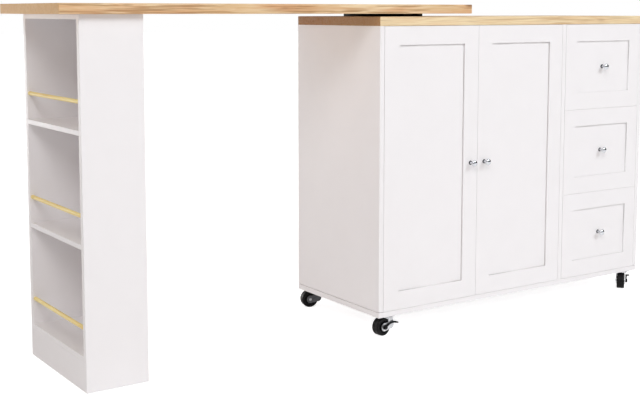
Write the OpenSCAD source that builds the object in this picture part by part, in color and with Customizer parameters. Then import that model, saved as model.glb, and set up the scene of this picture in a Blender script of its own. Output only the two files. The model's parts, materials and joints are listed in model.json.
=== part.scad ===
// Extendable kitchen island: a cabinet on castors whose second top swings out on a ring turntable
// and stands at its far end on an open tower. Millimetres, +X along the island towards the cabinet,
// +Y towards the back, +Z up. The origin is on the floor under the middle of the whole object.

/* [Island] */
// Depth of the cabinet and of both wooden tops
island_d = 406; // [380:1:450]
// Thickness of the white boards
board_t = 15; // [12:0.5:18]
// Chamfer on the edges of the wooden tops
top_ease = 1.5; // [0.5:0.5:3]

/* [Cabinet] */
// Width of the cabinet
cab_w = 1050; // [960:1:1200]
// Height of the cabinet from the underside of its bottom board to the worktop
cab_h = 801; // [740:1:840]
// Thickness of the cabinet's worktop
worktop_t = 25; // [18:1:38]
// Clear width of the drawer bay
drawer_bay_w = 330; // [300:1:360]
// Depth of the top rails, front to back
top_rail_d = 60; // [40:1:80]
// Distance of the top rails and of the shelf from the front plane
inner_setback = 30; // [27:1:45]

/* [Shelf] */
// Thickness of the shelf behind the doors
shelf_t = 15; // [12:0.5:18]
// Play between the shelf and the boards beside it
shelf_play = 1; // [0.5:0.5:3]
// Height of the shelf's underside above the bottom board
shelf_up = 385; // [320:1:420]
// Diameter of a shelf pin
pin_d = 5; // [4:0.5:6]
// Depth of a shelf pin's hole
pin_hole_l = 8; // [6:0.5:9]
// Length of a shelf pin's flat saddle
saddle_l = 9; // [6:0.5:12]
// Spacing of the shelf-pin holes up a board
pin_pitch = 64; // [32:32:64]
// Distance of the rows of pin holes from the shelf's front and rear edges
pin_inset = 45; // [30:1:60]

/* [Fronts] */
// Thickness of the doors and drawer fronts
front_t = 15; // [14:0.5:18]
// Gap around every door and drawer front
front_gap = 1; // [0.8:0.1:1.6]
// Width of a door's stiles
door_stile_w = 51.5; // [40:0.5:60]
// Height of the top and bottom rails of the doors and drawer fronts
front_rail_w = 51; // [40:1:60]
// Width of the raised margins at the sides of a drawer front
drawer_stile_w = 46; // [35:1:55]
// Depth of the recess in the doors and drawer fronts
recess_d = 5; // [3:0.5:6]
// Thickness of a door's recessed panel
panel_t = 6; // [4:0.5:8]
// Depth of the groove that holds a door's panel
groove_d = 7; // [5:0.5:10]

/* [Door pivots] */
// Diameter of the pivot pins
pivot_d = 5; // [4:0.5:6]
// Radial running clearance of the pivot pins
pivot_play = 0.06; // [0.02:0.01:0.1]
// Distance of the pivot from the door's edge
pivot_in = 16; // [14:0.5:18]
// Distance of the pivot behind the door's face
pivot_back = 4.5; // [4.2:0.1:4.6]
// Depth of the pivot holes in the bottom board and worktop
pivot_hole_l = 8; // [6:0.5:10]
// Length of a pivot pin inside the door
pivot_door_l = 22; // [15:1:30]
// Diameter of the collar that carries the door
pivot_collar_d = 8; // [7:0.5:8]

/* [Knobs] */
// How far a knob stands out
knob_l = 24; // [20:0.5:30]
// Diameter of a knob's head
knob_d = 19; // [16:0.5:24]
// Diameter of a knob's foot
knob_foot_d = 12; // [10:0.5:14]
// Diameter of a knob's neck
knob_neck_d = 7; // [6:0.5:9]
// Thickness of a knob's foot
knob_foot_t = 2; // [1:0.5:3]
// Thickness of a knob's head
knob_head_t = 12; // [9:0.5:14]
// Thickness of a knob's head at its rim
knob_rim_t = 3; // [1:0.5:5]

/* [Drawers] */
// Thickness of a drawer box's sides and back
box_t = 12; // [10:0.5:15]
// Height of a drawer box
box_h = 190; // [140:1:200]
// Space between a drawer box and the cabinet's back panel
box_space = 16; // [10:1:60]
// Height of a drawer box's lower edge above that of its front
box_up = 20; // [16:1:30]
// Thickness of a drawer's bottom board
box_bottom_t = 4; // [3:0.5:6]
// Depth of the groove for the bottom board
box_groove_d = 6; // [4:0.5:8]
// Height of a drawer's bottom board above the box's lower edge
box_bottom_up = 10; // [8:1:15]

/* [Runners] */
// Width of a pair of runners
runner_w = 12.7; // [12:0.1:14]
// Height of a fixed runner
runner_h = 35; // [30:1:45]
// Thickness of the runners' steel
runner_t = 1.5; // [1:0.1:2]
// Play between the fixed and the moving runner
runner_play = 0.4; // [0.3:0.05:0.8]
// Height of a runner's lower edge above the box's lower edge
runner_up = 40; // [30:1:60]
// Distance of the runners from both ends of the box
runner_back = 5; // [3:0.5:30]

/* [Turntable] */
// Outer diameter of the turntable
ring_d = 228; // [200:1:260]
// Height of the turntable between the two tops
ring_h = 8; // [7:0.5:12]
// Radial width of each of the two rings
ring_w = 17; // [14:0.5:20]
// Diameter of the turntable's balls
ball_d = 5; // [4.5:0.5:6]
// Play of a ball in its grooves
ball_play = 0.05; // [0.03:0.01:0.1]
// Number of balls
ball_count = 24; // [12:1:36]
// Gap between the two rings
ring_gap = 2.4; // [2:0.1:3]
// Gap between a ring and the top that it doesn't carry
ring_clear = 0.4; // [0.3:0.1:0.8]
// Distance of the turntable's centre from the cabinet's left end
pivot_x = 162.5; // [150:0.5:180]

/* [Table] */
// Length of the swinging table top
table_l = 1220; // [1120:1:1260]
// Thickness of the swinging table top
table_t = 25; // [18:1:38]
// How far the table top reaches past the turntable's centre
table_past = 162.5; // [150:0.5:180]
// Overhang of the table top beyond the tower's open end
table_over = 53; // [30:1:80]

/* [Tower] */
// Width of the tower along the island
tower_w = 160; // [140:1:200]
// Distance of the tower's sides from the tops' front and back edges
tower_in = 18; // [15:1:40]
// Thickness of the tower's top, shelves and bottom board
tower_shelf_t = 12; // [10:0.5:18]
// Height of the tower's lowest compartment above the floor
tower_floor_z = 87; // [82:1:100]
// Gap between the tower's boards and the floor
tower_lift = 2; // [1.5:0.5:8]
// Diameter of the guard rails
rail_d = 10; // [8:0.5:14]
// Height of a guard rail's middle above its compartment's floor
rail_up = 66; // [50:1:90]
// Distance of a guard rail's middle from the open end
rail_in = 7.5; // [6.5:0.5:12]
// Depth of the guard rails' ends in the tower's sides
rail_end = 8; // [5:0.5:10]

/* [Rollers] */
// Distance of the tower's rollers from its front and rear
roller_in_y = 52; // [40:1:80]
// Length of a roller bracket's plate
bracket_l = 40; // [36:1:48]

/* [Castors] */
// Height of a castor, floor to cabinet
castor_h = 55; // [55:0.5:62]
// Diameter of the castor wheels and of the tower's rollers
wheel_d = 50; // [46:0.5:50]
// Width of the wheels
wheel_w = 24; // [20:0.5:26]
// Rounding of a wheel's tread
wheel_round = 3; // [1:0.5:4]
// Depth of the ring-shaped recess in a wheel's sides
wheel_dish = 3; // [1:0.5:5]
// Diameter of a wheel's hub inside the recess
wheel_hub_d = 19; // [16:0.5:22]
// Thickness of a wheel's rim outside the recess
wheel_rim = 8; // [6:0.5:10]
// Distance of a wheel's axle from the swivel axis
trail = 18; // [17.5:0.5:22]
// Distance of the swivel axes from the cabinet's ends
castor_in_x = 43; // [36:0.5:60]
// Distance of the swivel axes from the cabinet's front and back
castor_in_y = 24; // [22:0.5:50]
// Side of a castor's square plate
plate_side = 40; // [36:1:44]
// Thickness of a castor's plate and of a fork's steel
fork_t = 2; // [1.5:0.1:2]
// Diameter of the ball race under a castor's plate
race_d = 30; // [26:1:34]
// Thickness of the ball race
race_t = 1.4; // [1:0.1:1.4]
// Diameter of a fork's crown
crown_d = 38; // [37:0.5:40]
// Diameter of the king pins
king_d = 8; // [6:0.5:8]
// Diameter of a king pin's riveted head
king_head_d = 12; // [10:0.5:12]
// Thickness of a king pin's riveted head
king_head_t = 1.4; // [1:0.1:1.4]
// Diameter of the round end of a fork's cheek
boss_d = 23; // [20:0.5:24]
// Diameter of a cheek's rounded rear
belly_d = 24; // [22:0.5:26]
// Diameter of the axles
axle_d = 6; // [5:0.5:8]
// Diameter of an axle's riveted heads
rivet_d = 9; // [8:0.5:11]
// Thickness of an axle's riveted heads
rivet_t = 1.2; // [0.8:0.1:2]
// Radial running clearance of the axles and king pins
axle_play = 0.06; // [0.02:0.01:0.1]
// Clearance between a wheel and its fork's cheeks
cheek_gap = 1; // [0.6:0.1:2]
// Angle of the front left castor at rest
yaw_fl = 187; // [0:1:360]
// Angle of the front right castor at rest
yaw_fr = 220; // [0:1:360]
// Angle of the rear left castor at rest
yaw_rl = 165; // [0:1:360]
// Angle of the rear right castor at rest
yaw_rr = 200; // [0:1:360]

/* [Brake levers] */
// Reach of a brake lever from the axle to its tip
lever_l = 43; // [38:0.5:48]
// Thickness of a brake lever's arm
lever_t = 4; // [3:0.5:5]
// Height of a brake lever's arm
lever_h = 5; // [4:0.5:7]
// Rise of a brake lever's tip above the axle
lever_rise = 10.5; // [8:0.5:12]
// Diameter of a brake lever's hub
lever_hub_d = 13; // [12:0.5:16]
// How far a brake lever's foot tab stands out sideways
tab_w = 9; // [6:0.5:14]
// Length of the foot tab along the arm
tab_l = 12; // [8:0.5:16]

/* [Catches] */
// Width of a door catch
catch_w = 36; // [24:1:48]
// Height of a door catch
catch_h = 12; // [8:1:16]
// Depth of a door catch
catch_d = 26; // [22:1:40]
// Distance of a door catch from the joint between the doors
catch_off = 40; // [30:1:80]

/* [Hidden] */

$fn = 64;
// How far a cutting shape runs past what it cuts
cut = 1;
// Gap between parts that move against each other and have no fit of their own
run_gap = 0.3;
// Radial clearance of a pin that is pressed or glued into its hole
seat_play = 0.02;
// Play at the blind end of a pin's hole
end_play = 0.5;
// Height of a shelf pin's flat saddle above the pin
saddle_t = 1;

white = "white";
oak = "burlywood";
pine = "khaki";
steel = "silver";
black = "dimgray";

// Heights
cab_z = castor_h;
floor_z = cab_z + board_t;
cab_top_z = cab_z + cab_h;
worktop_z = cab_top_z + worktop_t;
table_z = worktop_z + ring_h;

// Cabinet, measured from its front left corner
bay_x0 = board_t;
divider_x0 = cab_w - 2 * board_t - drawer_bay_w;
drawer_x0 = divider_x0 + board_t;
drawer_x1 = cab_w - board_t;
back_y = island_d - board_t;
shelf_z = floor_z + shelf_up;
pin_z = shelf_z - saddle_t - pin_d / 2;
pin_rows = [inner_setback + pin_inset, back_y - pin_inset];

// Doors and drawer fronts
door_w = (divider_x0 - bay_x0 - 3 * front_gap) / 2;
front_z0 = floor_z + front_gap;
front_z1 = cab_top_z - front_gap;
door_h = front_z1 - front_z0;
door_xs = [bay_x0 + front_gap, divider_x0 - front_gap - door_w];
pivot_xs = [door_xs[0] + pivot_in, door_xs[1] + door_w - pivot_in];
drawer_w = drawer_bay_w - 2 * front_gap;
drawer_h = (door_h - 2 * front_gap) / 3;
box_w = drawer_bay_w - 2 * runner_w;
box_l = back_y - front_t - box_space;
runner_l = box_l - 2 * runner_back;
box_x0 = drawer_x0 + runner_w;

// Table and tower
table_x1 = pivot_x + table_past;
table_x0 = table_x1 - table_l;
tower_x0 = table_x0 + table_over;
tower_y0 = tower_in;
tower_y1 = island_d - tower_in;
tower_inner_x = tower_x0 + tower_w - board_t;
tower_pitch = (table_z - tower_floor_z) / 3;
pivot_y = island_d / 2;
roller_x = (tower_x0 + board_t + tower_inner_x) / 2;
roller_ys = [tower_y0 + roller_in_y, tower_y1 - roller_in_y];

// Turntable
ball_circle = ring_d / 2 - ring_w - ring_gap / 2;
groove_r = ball_d / 2 + ball_play;

// Castors
wheel_r = wheel_d / 2;
crown_z1 = castor_h - fork_t - race_t - run_gap;
crown_z0 = crown_z1 - fork_t;
cheek_y0 = wheel_w / 2 + cheek_gap;
cheek_y1 = cheek_y0 + fork_t;
boss_r = boss_d / 2;
lever_y1 = cheek_y1 + run_gap + lever_t;
// Where a cheek leaves the crown, behind and in front of the swivel axis
cheek_x = [-11.5, 7];
// Middle of a cheek's rounded rear
belly_at = [-5, wheel_r + 4];
// How far the crown is cut away in front of the axle, for the wheel
crown_cut = 10;
castor_x1 = cab_w - castor_in_x;
castor_y1 = island_d - castor_in_y;

// The frame's origin, seen from the cabinet's front left corner at the floor
origin = [(table_x0 + cab_w) / 2, (island_d - knob_l) / 2, 0];

// A box between two opposite corners
module slab(a, b) {
    translate(a) cube(b - a);
}

// A box whose twelve edges are chamfered by e
module eased_slab(a, b, e) {
    s = b - a;
    translate(a) intersection() {
        linear_extrude(s.z) chamfered(s.x, s.y, e);
        translate([0, s.y, 0]) rotate([90, 0, 0]) linear_extrude(s.y) chamfered(s.x, s.z, e);
        rotate([90, 0, 90]) linear_extrude(s.x) chamfered(s.y, s.z, e);
    }
}

module chamfered(w, h, e) {
    polygon([[e, 0], [w - e, 0], [w, e], [w, h - e], [w - e, h], [e, h], [0, h - e], [0, e]]);
}

// Puts a module that is drawn from the cabinet's corner into the part's frame
module placed() {
    translate(-origin) children();
}

// Cabinet boards

module cabinet_side(x0, holes_at) {
    color(white) difference() {
        slab([x0, 0, floor_z], [x0 + board_t, island_d, cab_top_z]);
        if (holes_at != undef) pin_holes(holes_at, 1);
    }
}

// Rows of shelf-pin holes that start on the plane x and run into the board
module pin_holes(x, way) {
    for (y = pin_rows, k = [-1:1])
        translate([x, y, pin_z + k * pin_pitch])
            rotate([0, way > 0 ? -90 : 90, 0])
                translate([0, 0, -cut]) cylinder(h = pin_hole_l + cut, d = pin_d + 2 * seat_play);
}

module cabinet_divider() {
    color(white) difference() {
        slab([divider_x0, 0, floor_z], [divider_x0 + board_t, back_y, cab_top_z]);
        pin_holes(divider_x0, -1);
    }
}

module cabinet_bottom() {
    color(white) difference() {
        slab([0, 0, cab_z], [cab_w, island_d, floor_z]);
        for (x = pivot_xs) translate([x, pivot_back, floor_z - pivot_hole_l])
            cylinder(h = pivot_hole_l + cut, d = pivot_d + 2 * pivot_play);
    }
}

module cabinet_back() {
    color(white) slab([board_t, back_y, floor_z], [cab_w - board_t, island_d, cab_top_z]);
}

module cabinet_top_rails() {
    z0 = cab_top_z - board_t;
    color(white) for (bay = [[bay_x0, divider_x0], [drawer_x0, drawer_x1]]) {
        slab([bay[0], inner_setback, z0], [bay[1], inner_setback + top_rail_d, cab_top_z]);
        slab([bay[0], back_y - top_rail_d, z0], [bay[1], back_y, cab_top_z]);
    }
}

module worktop() {
    color(oak) difference() {
        eased_slab([0, 0, cab_top_z], [cab_w, island_d, worktop_z], top_ease);
        for (x = pivot_xs) translate([x, pivot_back, cab_top_z - cut])
            cylinder(h = pivot_hole_l + cut, d = pivot_d + 2 * pivot_play);
    }
}

module cabinet_shelf() {
    color(white) slab([bay_x0 + shelf_play, inner_setback, shelf_z],
        [divider_x0 - shelf_play, back_y - shelf_play, shelf_z + shelf_t]);
}

// A pin in a board's hole, with a flat saddle under the shelf
module shelf_pin(x, y, way) {
    translate([x, y, pin_z]) {
        rotate([0, way > 0 ? -90 : 90, 0]) cylinder(h = pin_hole_l - end_play, d = pin_d);
        slab([way > 0 ? 0 : -saddle_l, -pin_d / 2, -pin_d / 2],
            [way > 0 ? saddle_l : 0, pin_d / 2, pin_d / 2 + saddle_t]);
    }
}

module shelf_pins() {
    color(steel) for (y = pin_rows) {
        shelf_pin(bay_x0, y, 1);
        shelf_pin(divider_x0, y, -1);
    }
}

module door_catches() {
    mid = (bay_x0 + divider_x0) / 2;
    z1 = cab_top_z - board_t;
    color(black) for (s = [-1, 1])
        translate([mid + s * catch_off - catch_w / 2, 0, 0])
            slab([0, front_t + run_gap, z1 - catch_h], [catch_w, front_t + catch_d, z1]);
}

// Doors

module door_frame(x0) {
    a = [x0 + door_stile_w, front_z0 + front_rail_w];
    b = [x0 + door_w - door_stile_w, front_z1 - front_rail_w];
    color(white) difference() {
        slab([x0, 0, front_z0], [x0 + door_w, front_t, front_z1]);
        slab([a.x, -cut, a.y], [b.x, front_t + cut, b.y]);
        slab([a.x - groove_d, recess_d, a.y - groove_d],
            [b.x + groove_d, recess_d + panel_t, b.y + groove_d]);
        pivot_sockets();
    }
}

module door_panel(x0) {
    color(white) slab(
        [x0 + door_stile_w - groove_d, recess_d, front_z0 + front_rail_w - groove_d],
        [x0 + door_w - door_stile_w + groove_d, recess_d + panel_t,
            front_z1 - front_rail_w + groove_d]);
}

// Holes in the doors for both pivots at top and bottom
module pivot_sockets() {
    for (x = pivot_xs) {
        translate([x, pivot_back, front_z0 - cut])
            cylinder(h = pivot_door_l + cut, d = pivot_d + 2 * seat_play);
        translate([x, pivot_back, front_z1 - pivot_door_l])
            cylinder(h = pivot_door_l + cut, d = pivot_d + 2 * seat_play);
    }
}

// Two pins that turn with the door, the lower one with a collar that carries it
module door_pivots(x) {
    l = pivot_hole_l + front_gap + pivot_door_l - end_play;
    color(steel) translate([x, pivot_back, 0]) {
        translate([0, 0, floor_z - pivot_hole_l + end_play]) cylinder(h = l, d = pivot_d);
        translate([0, 0, floor_z + run_gap])
            cylinder(h = front_gap - run_gap, d = pivot_collar_d);
        translate([0, 0, front_z1 - pivot_door_l]) cylinder(h = l, d = pivot_d);
    }
}

// A turned knob that stands out along -Y from the plane y
module knob(x, y, z) {
    color(steel) translate([x, y, z]) rotate([90, 0, 0]) rotate_extrude() {
        square([knob_foot_d / 2, knob_foot_t]);
        square([knob_neck_d / 2, knob_l - knob_head_t / 2]);
        translate([0, knob_l - knob_head_t / 2]) knob_head();
    }
}

// Half of a knob head's outline: two arcs that meet a narrow rim
module knob_head() {
    r = knob_d / 2;
    swell = (knob_head_t - knob_rim_t) / 2;
    arc_r = (r * r + swell * swell) / (2 * swell);
    intersection() {
        translate([0, knob_head_t / 2 - arc_r]) circle(r = arc_r, $fn = 128);
        translate([0, arc_r - knob_head_t / 2]) circle(r = arc_r, $fn = 128);
        translate([0, -knob_head_t / 2]) square([r, knob_head_t]);
    }
}

// Drawers, counted from the top

function drawer_z(i) = front_z1 - drawer_h - i * (drawer_h + front_gap);

module drawer_front(i) {
    z = drawer_z(i);
    x = drawer_x0 + front_gap;
    color(white) difference() {
        slab([x, 0, z], [x + drawer_w, front_t, z + drawer_h]);
        slab([x + drawer_stile_w, -cut, z + front_rail_w],
            [x + drawer_w - drawer_stile_w, recess_d, z + drawer_h - front_rail_w]);
    }
}

module drawer_box(i) {
    z = drawer_z(i) + box_up;
    y1 = front_t + box_l;
    color("wheat") difference() {
        slab([box_x0, front_t, z], [box_x0 + box_w, y1, z + box_h]);
        slab([box_x0 + box_t, front_t - cut, z - cut],
            [box_x0 + box_w - box_t, y1 - box_t, z + box_h + cut]);
        drawer_bottom_space(z);
    }
}

module drawer_bottom_space(z) {
    slab([box_x0 + box_t - box_groove_d, front_t, z + box_bottom_up],
        [box_x0 + box_w - box_t + box_groove_d, front_t + box_l - box_t + box_groove_d,
            z + box_bottom_up + box_bottom_t]);
}

module drawer_bottom(i) {
    color("wheat") drawer_bottom_space(drawer_z(i) + box_up);
}

module drawer_knob(i) {
    knob(drawer_x0 + front_gap + drawer_w / 2, recess_d, drawer_z(i) + drawer_h / 2);
}

function runner_z(i) = drawer_z(i) + box_up + runner_up;

// Channel whose web lies on x = 0 and whose flanges reach towards +X
module channel(w, h, t, l) {
    rotate([90, 0, 0]) translate([0, 0, -l]) linear_extrude(l) difference() {
        square([w, h]);
        translate([t, t]) square([w, h - 2 * t]);
    }
}

module fixed_runners() {
    w = runner_w - runner_t - runner_play;
    y = front_t + runner_back;
    color(steel) for (i = [0:2]) {
        translate([drawer_x0, y, runner_z(i)]) channel(w, runner_h, runner_t, runner_l);
        translate([drawer_x1, y, runner_z(i)])
            mirror([1, 0, 0]) channel(w, runner_h, runner_t, runner_l);
    }
}

module drawer_runners(i) {
    w = runner_w - runner_t - runner_play;
    rise = runner_t + runner_play;
    h = runner_h - 2 * rise;
    y = front_t + runner_back;
    color(steel) {
        translate([box_x0, y, runner_z(i) + rise])
            mirror([1, 0, 0]) channel(w, h, runner_t, runner_l);
        translate([box_x0 + box_w, y, runner_z(i) + rise])
            channel(w, h, runner_t, runner_l);
    }
}

// Turntable: two rings, each with half of a round groove, and a circle of balls between them

module ball_groove() {
    rotate_extrude($fn = 128) translate([ball_circle, 0]) circle(r = groove_r, $fn = 48);
}

module turntable_base() {
    outer = ring_d / 2;
    inner = ball_circle + ring_gap / 2;
    color(black) translate([pivot_x, pivot_y, worktop_z]) difference() {
        cylinder(h = ring_h - ring_clear, r = outer, $fn = 128);
        translate([0, 0, -cut]) cylinder(h = ring_h + 2 * cut, r = inner, $fn = 128);
        translate([0, 0, ring_h / 2]) ball_groove();
    }
}

module turntable_rotor() {
    outer = ball_circle - ring_gap / 2;
    inner = outer - ring_w;
    color(black) translate([pivot_x, pivot_y, worktop_z]) difference() {
        translate([0, 0, ring_clear]) cylinder(h = ring_h - ring_clear, r = outer, $fn = 128);
        translate([0, 0, -cut]) cylinder(h = ring_h + 2 * cut, r = inner, $fn = 128);
        translate([0, 0, ring_h / 2]) ball_groove();
    }
}

module turntable_balls() {
    color(steel) translate([pivot_x, pivot_y, worktop_z + ring_h / 2])
        for (i = [0:ball_count - 1]) rotate([0, 0, i * 360 / ball_count])
            translate([ball_circle, 0, 0]) sphere(d = ball_d, $fn = 32);
}

// Table and tower

module table_top() {
    color(oak) eased_slab([table_x0, 0, table_z], [table_x1, island_d, table_z + table_t],
        top_ease);
}

function tower_level(k) = tower_floor_z + k * tower_pitch;

module tower_side(y0, inner_y) {
    way = inner_y > y0 ? 1 : -1;
    color(white) difference() {
        slab([tower_x0, y0, tower_lift], [tower_x0 + tower_w, y0 + board_t, table_z]);
        for (k = [0:2])
            translate([tower_x0 + rail_in, inner_y, tower_level(k) + rail_up])
                rotate([way > 0 ? 90 : -90, 0, 0]) translate([0, 0, -cut])
                    cylinder(h = rail_end + cut, d = rail_d + 2 * seat_play);
    }
}

// A board between the tower's sides, from height z0 up to z1
module tower_board(z0, z1) {
    color(white) slab([tower_x0, tower_y0 + board_t, z0],
        [tower_inner_x, tower_y1 - board_t, z1]);
}

module tower_back() {
    color(white) slab([tower_inner_x, tower_y0 + board_t, tower_lift],
        [tower_x0 + tower_w, tower_y1 - board_t, table_z]);
}

module tower_shelves() {
    for (k = [1, 2]) tower_board(tower_level(k) - tower_shelf_t, tower_level(k));
}

module tower_plinth() {
    color(white) slab([tower_x0, tower_y0 + board_t, tower_lift],
        [tower_x0 + board_t, tower_y1 - board_t, tower_floor_z - tower_shelf_t]);
}

module guard_rails() {
    l = tower_y1 - tower_y0 - 2 * (board_t - rail_end + end_play);
    color(pine) for (k = [0:2])
        translate([tower_x0 + rail_in, pivot_y + l / 2, tower_level(k) + rail_up])
            rotate([90, 0, 0]) cylinder(h = l, d = rail_d);
}

// Rollers under the tower's bottom board, their axles along X

module roller_bracket(y) {
    z1 = tower_floor_z - tower_shelf_t;
    half = bracket_l / 2;
    color(steel) translate([roller_x, y, 0]) {
        slab([-cheek_y1, -half, z1 - fork_t], [cheek_y1, half, z1]);
        for (x = [-cheek_y1, cheek_y0]) translate([x, 0, 0])
            rotate([90, 0, 90]) linear_extrude(fork_t) {
                translate([0, wheel_r]) circle(r = boss_r);
                polygon([[-0.9 * boss_r, wheel_r], [0.9 * boss_r, wheel_r],
                    [half, z1 - fork_t / 2], [-half, z1 - fork_t / 2]]);
            }
        translate([0, 0, wheel_r]) rotate([0, 90, 0]) axle();
    }
}

module roller_brackets() {
    for (y = roller_ys) roller_bracket(y);
}

module roller(y) {
    translate([roller_x, y, wheel_r]) rotate([0, 90, 0]) wheel();
}

// A riveted axle about Z through both cheeks, with a longer end for what turns outside them
module axle(longer = 0) {
    translate([0, 0, -cheek_y1]) cylinder(h = 2 * cheek_y1 + longer, d = axle_d);
    translate([0, 0, cheek_y1 + longer]) axle_head();
    mirror([0, 0, 1]) translate([0, 0, cheek_y1]) axle_head();
}

module axle_head() {
    cylinder(h = rivet_t, d1 = rivet_d, d2 = rivet_d - 2);
}

// A wheel about Z: rounded tread, recessed web and bore
module wheel() {
    w = wheel_w / 2;
    color(black) rotate_extrude($fn = 96) difference() {
        for (s = [0, 1]) mirror([0, s]) {
            square([wheel_r - wheel_round, w]);
            square([wheel_r, w - wheel_round]);
            translate([wheel_r - wheel_round, w - wheel_round])
                circle(r = wheel_round, $fn = 32);
        }
        translate([-cut, -w - cut]) square([cut + axle_d / 2 + axle_play, 2 * (w + cut)]);
        for (s = [0, 1]) mirror([0, s]) translate([wheel_hub_d / 2, w - wheel_dish])
            square([wheel_r - wheel_rim - wheel_hub_d / 2, wheel_dish + cut]);
    }
}

// Castors. Each is drawn with its swivel axis on Z and its wheel trailing along +X.

function castor_at(c) =
    c == "fl" ? [castor_in_x, castor_in_y, yaw_fl] :
    c == "fr" ? [castor_x1, castor_in_y, yaw_fr] :
    c == "rl" ? [castor_in_x, castor_y1, yaw_rl] : [castor_x1, castor_y1, yaw_rr];

module at_castor(c, turned = true) {
    p = castor_at(c);
    translate([p.x, p.y, 0]) rotate([0, 0, turned ? p.z : 0]) children();
}

module castor_plate() {
    side = plate_side / 2;
    z0 = castor_h - fork_t;
    slab([-side, -side, z0], [side, side, castor_h]);
    translate([0, 0, z0 - race_t]) cylinder(h = race_t + fork_t / 2, d = race_d);
    translate([0, 0, crown_z0 - run_gap]) cylinder(h = castor_h - crown_z0, d = king_d);
    translate([0, 0, crown_z0 - run_gap - king_head_t])
        cylinder(h = king_head_t, d1 = king_head_d - 2, d2 = king_head_d);
}

module castor_plates() {
    color(steel) for (c = ["fl", "fr", "rl", "rr"]) at_castor(c, false) castor_plate();
}

// One cheek's outline in the plane of the wheel: a broad web that hooks round to the axle
module cheek_outline() {
    axle_at = [trail, wheel_r];
    translate(axle_at) circle(d = boss_d);
    translate(belly_at) circle(d = belly_d);
    polygon([[cheek_x[0], crown_z1], [cheek_x[1], crown_z1], edge_point(belly_at, belly_d, 45),
        edge_point(axle_at, boss_d, 100), edge_point(axle_at, boss_d, 260),
        edge_point(belly_at, belly_d, 262), edge_point(belly_at, belly_d, 175)]);
}

// A point just inside the edge of a circle
function edge_point(middle, d, a) = middle + 0.485 * d * [cos(a), sin(a)];

module castor_fork(braked) {
    lever_space = braked ? lever_t + 2 * run_gap : 0;
    color(steel) difference() {
        union() {
            translate([0, 0, crown_z0]) linear_extrude(fork_t) difference() {
                circle(d = crown_d);
                translate([trail - crown_cut, -cheek_y0]) square([crown_d, 2 * cheek_y0]);
            }
            for (s = [0, 1]) mirror([0, s, 0]) translate([0, cheek_y1, 0])
                rotate([90, 0, 0]) linear_extrude(fork_t) cheek_outline();
            translate([trail, 0, wheel_r]) rotate([-90, 0, 0]) axle(lever_space);
        }
        translate([0, 0, crown_z0 - cut])
            cylinder(h = fork_t + 2 * cut, d = king_d + 2 * axle_play);
    }
}

module castor_wheel() {
    translate([trail, 0, wheel_r]) rotate([90, 0, 0]) wheel();
}

// A side lever that turns on the end of the axle, with a foot tab at its tip
module brake_lever() {
    half = lever_h / 2;
    low = lever_rise - half;
    high = lever_rise + half;
    hub_r = 0.9 * lever_hub_d / 2;
    tab_x = tab_l - lever_l;
    bend_x = 0.45 * tab_x;
    color(black) translate([trail, 0, wheel_r]) difference() {
        union() {
            translate([0, lever_y1, 0]) rotate([90, 0, 0]) linear_extrude(lever_t) {
                circle(d = lever_hub_d);
                polygon([[0, -hub_r], [bend_x, low - 1.6 * half], [tab_x, low],
                    [-lever_l, low], [-lever_l, lever_rise], [tab_x, high],
                    [bend_x, lever_rise - 0.4 * half], [0, hub_r]]);
            }
            slab([-lever_l, lever_y1 - lever_t / 2, low], [tab_x, lever_y1 + tab_w, lever_rise]);
        }
        translate([0, lever_y1 + cut, 0]) rotate([90, 0, 0])
            cylinder(h = lever_t + 2 * cut, d = axle_d + 2 * axle_play);
    }
}

placed() cabinet_side(0, bay_x0);  // cabinet_side_left
placed() cabinet_side(drawer_x1);  // cabinet_side_right
placed() cabinet_divider();
placed() cabinet_bottom();
placed() cabinet_back();
placed() cabinet_top_rails();
placed() worktop();
placed() cabinet_shelf();
placed() shelf_pins();
placed() fixed_runners();
placed() castor_plates();
placed() door_catches();
placed() turntable_base();
placed() turntable_balls();
placed() turntable_rotor();
placed() table_top();
placed() tower_side(tower_y0, tower_y0 + board_t);  // tower_side_front
placed() tower_side(tower_y1 - board_t, tower_y1 - board_t);  // tower_side_rear
placed() tower_back();
placed() tower_board(table_z - tower_shelf_t, table_z);  // tower_top
placed() tower_shelves();
placed() tower_board(tower_floor_z - tower_shelf_t, tower_floor_z);  // tower_bottom
placed() tower_plinth();
placed() guard_rails();
placed() roller_brackets();
placed() roller(roller_ys[0]);  // roller_front
placed() roller(roller_ys[1]);  // roller_rear
placed() door_frame(door_xs[0]);  // door_left_frame
placed() door_panel(door_xs[0]);  // door_left_panel
placed() door_pivots(pivot_xs[0]);  // door_left_pivots
placed()  // door_left_knob
    knob(door_xs[0] + door_w - door_stile_w / 2, 0, (front_z0 + front_z1) / 2);
placed() door_frame(door_xs[1]);  // door_right_frame
placed() door_panel(door_xs[1]);  // door_right_panel
placed() door_pivots(pivot_xs[1]);  // door_right_pivots
placed()  // door_right_knob
    knob(door_xs[1] + door_stile_w / 2, 0, (front_z0 + front_z1) / 2);
placed() drawer_front(0);  // drawer_top_front
placed() drawer_box(0);  // drawer_top_box
placed() drawer_bottom(0);  // drawer_top_bottom
placed() drawer_runners(0);  // drawer_top_runners
placed() drawer_knob(0);  // drawer_top_knob
placed() drawer_front(1);  // drawer_middle_front
placed() drawer_box(1);  // drawer_middle_box
placed() drawer_bottom(1);  // drawer_middle_bottom
placed() drawer_runners(1);  // drawer_middle_runners
placed() drawer_knob(1);  // drawer_middle_knob
placed() drawer_front(2);  // drawer_bottom_front
placed() drawer_box(2);  // drawer_bottom_box
placed() drawer_bottom(2);  // drawer_bottom_bottom
placed() drawer_runners(2);  // drawer_bottom_runners
placed() drawer_knob(2);  // drawer_bottom_knob
placed() at_castor("fl") castor_fork(true);  // castor_fork_fl
placed() at_castor("fr") castor_fork(true);  // castor_fork_fr
placed() at_castor("rl") castor_fork(false);  // castor_fork_rl
placed() at_castor("rr") castor_fork(false);  // castor_fork_rr
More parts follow.
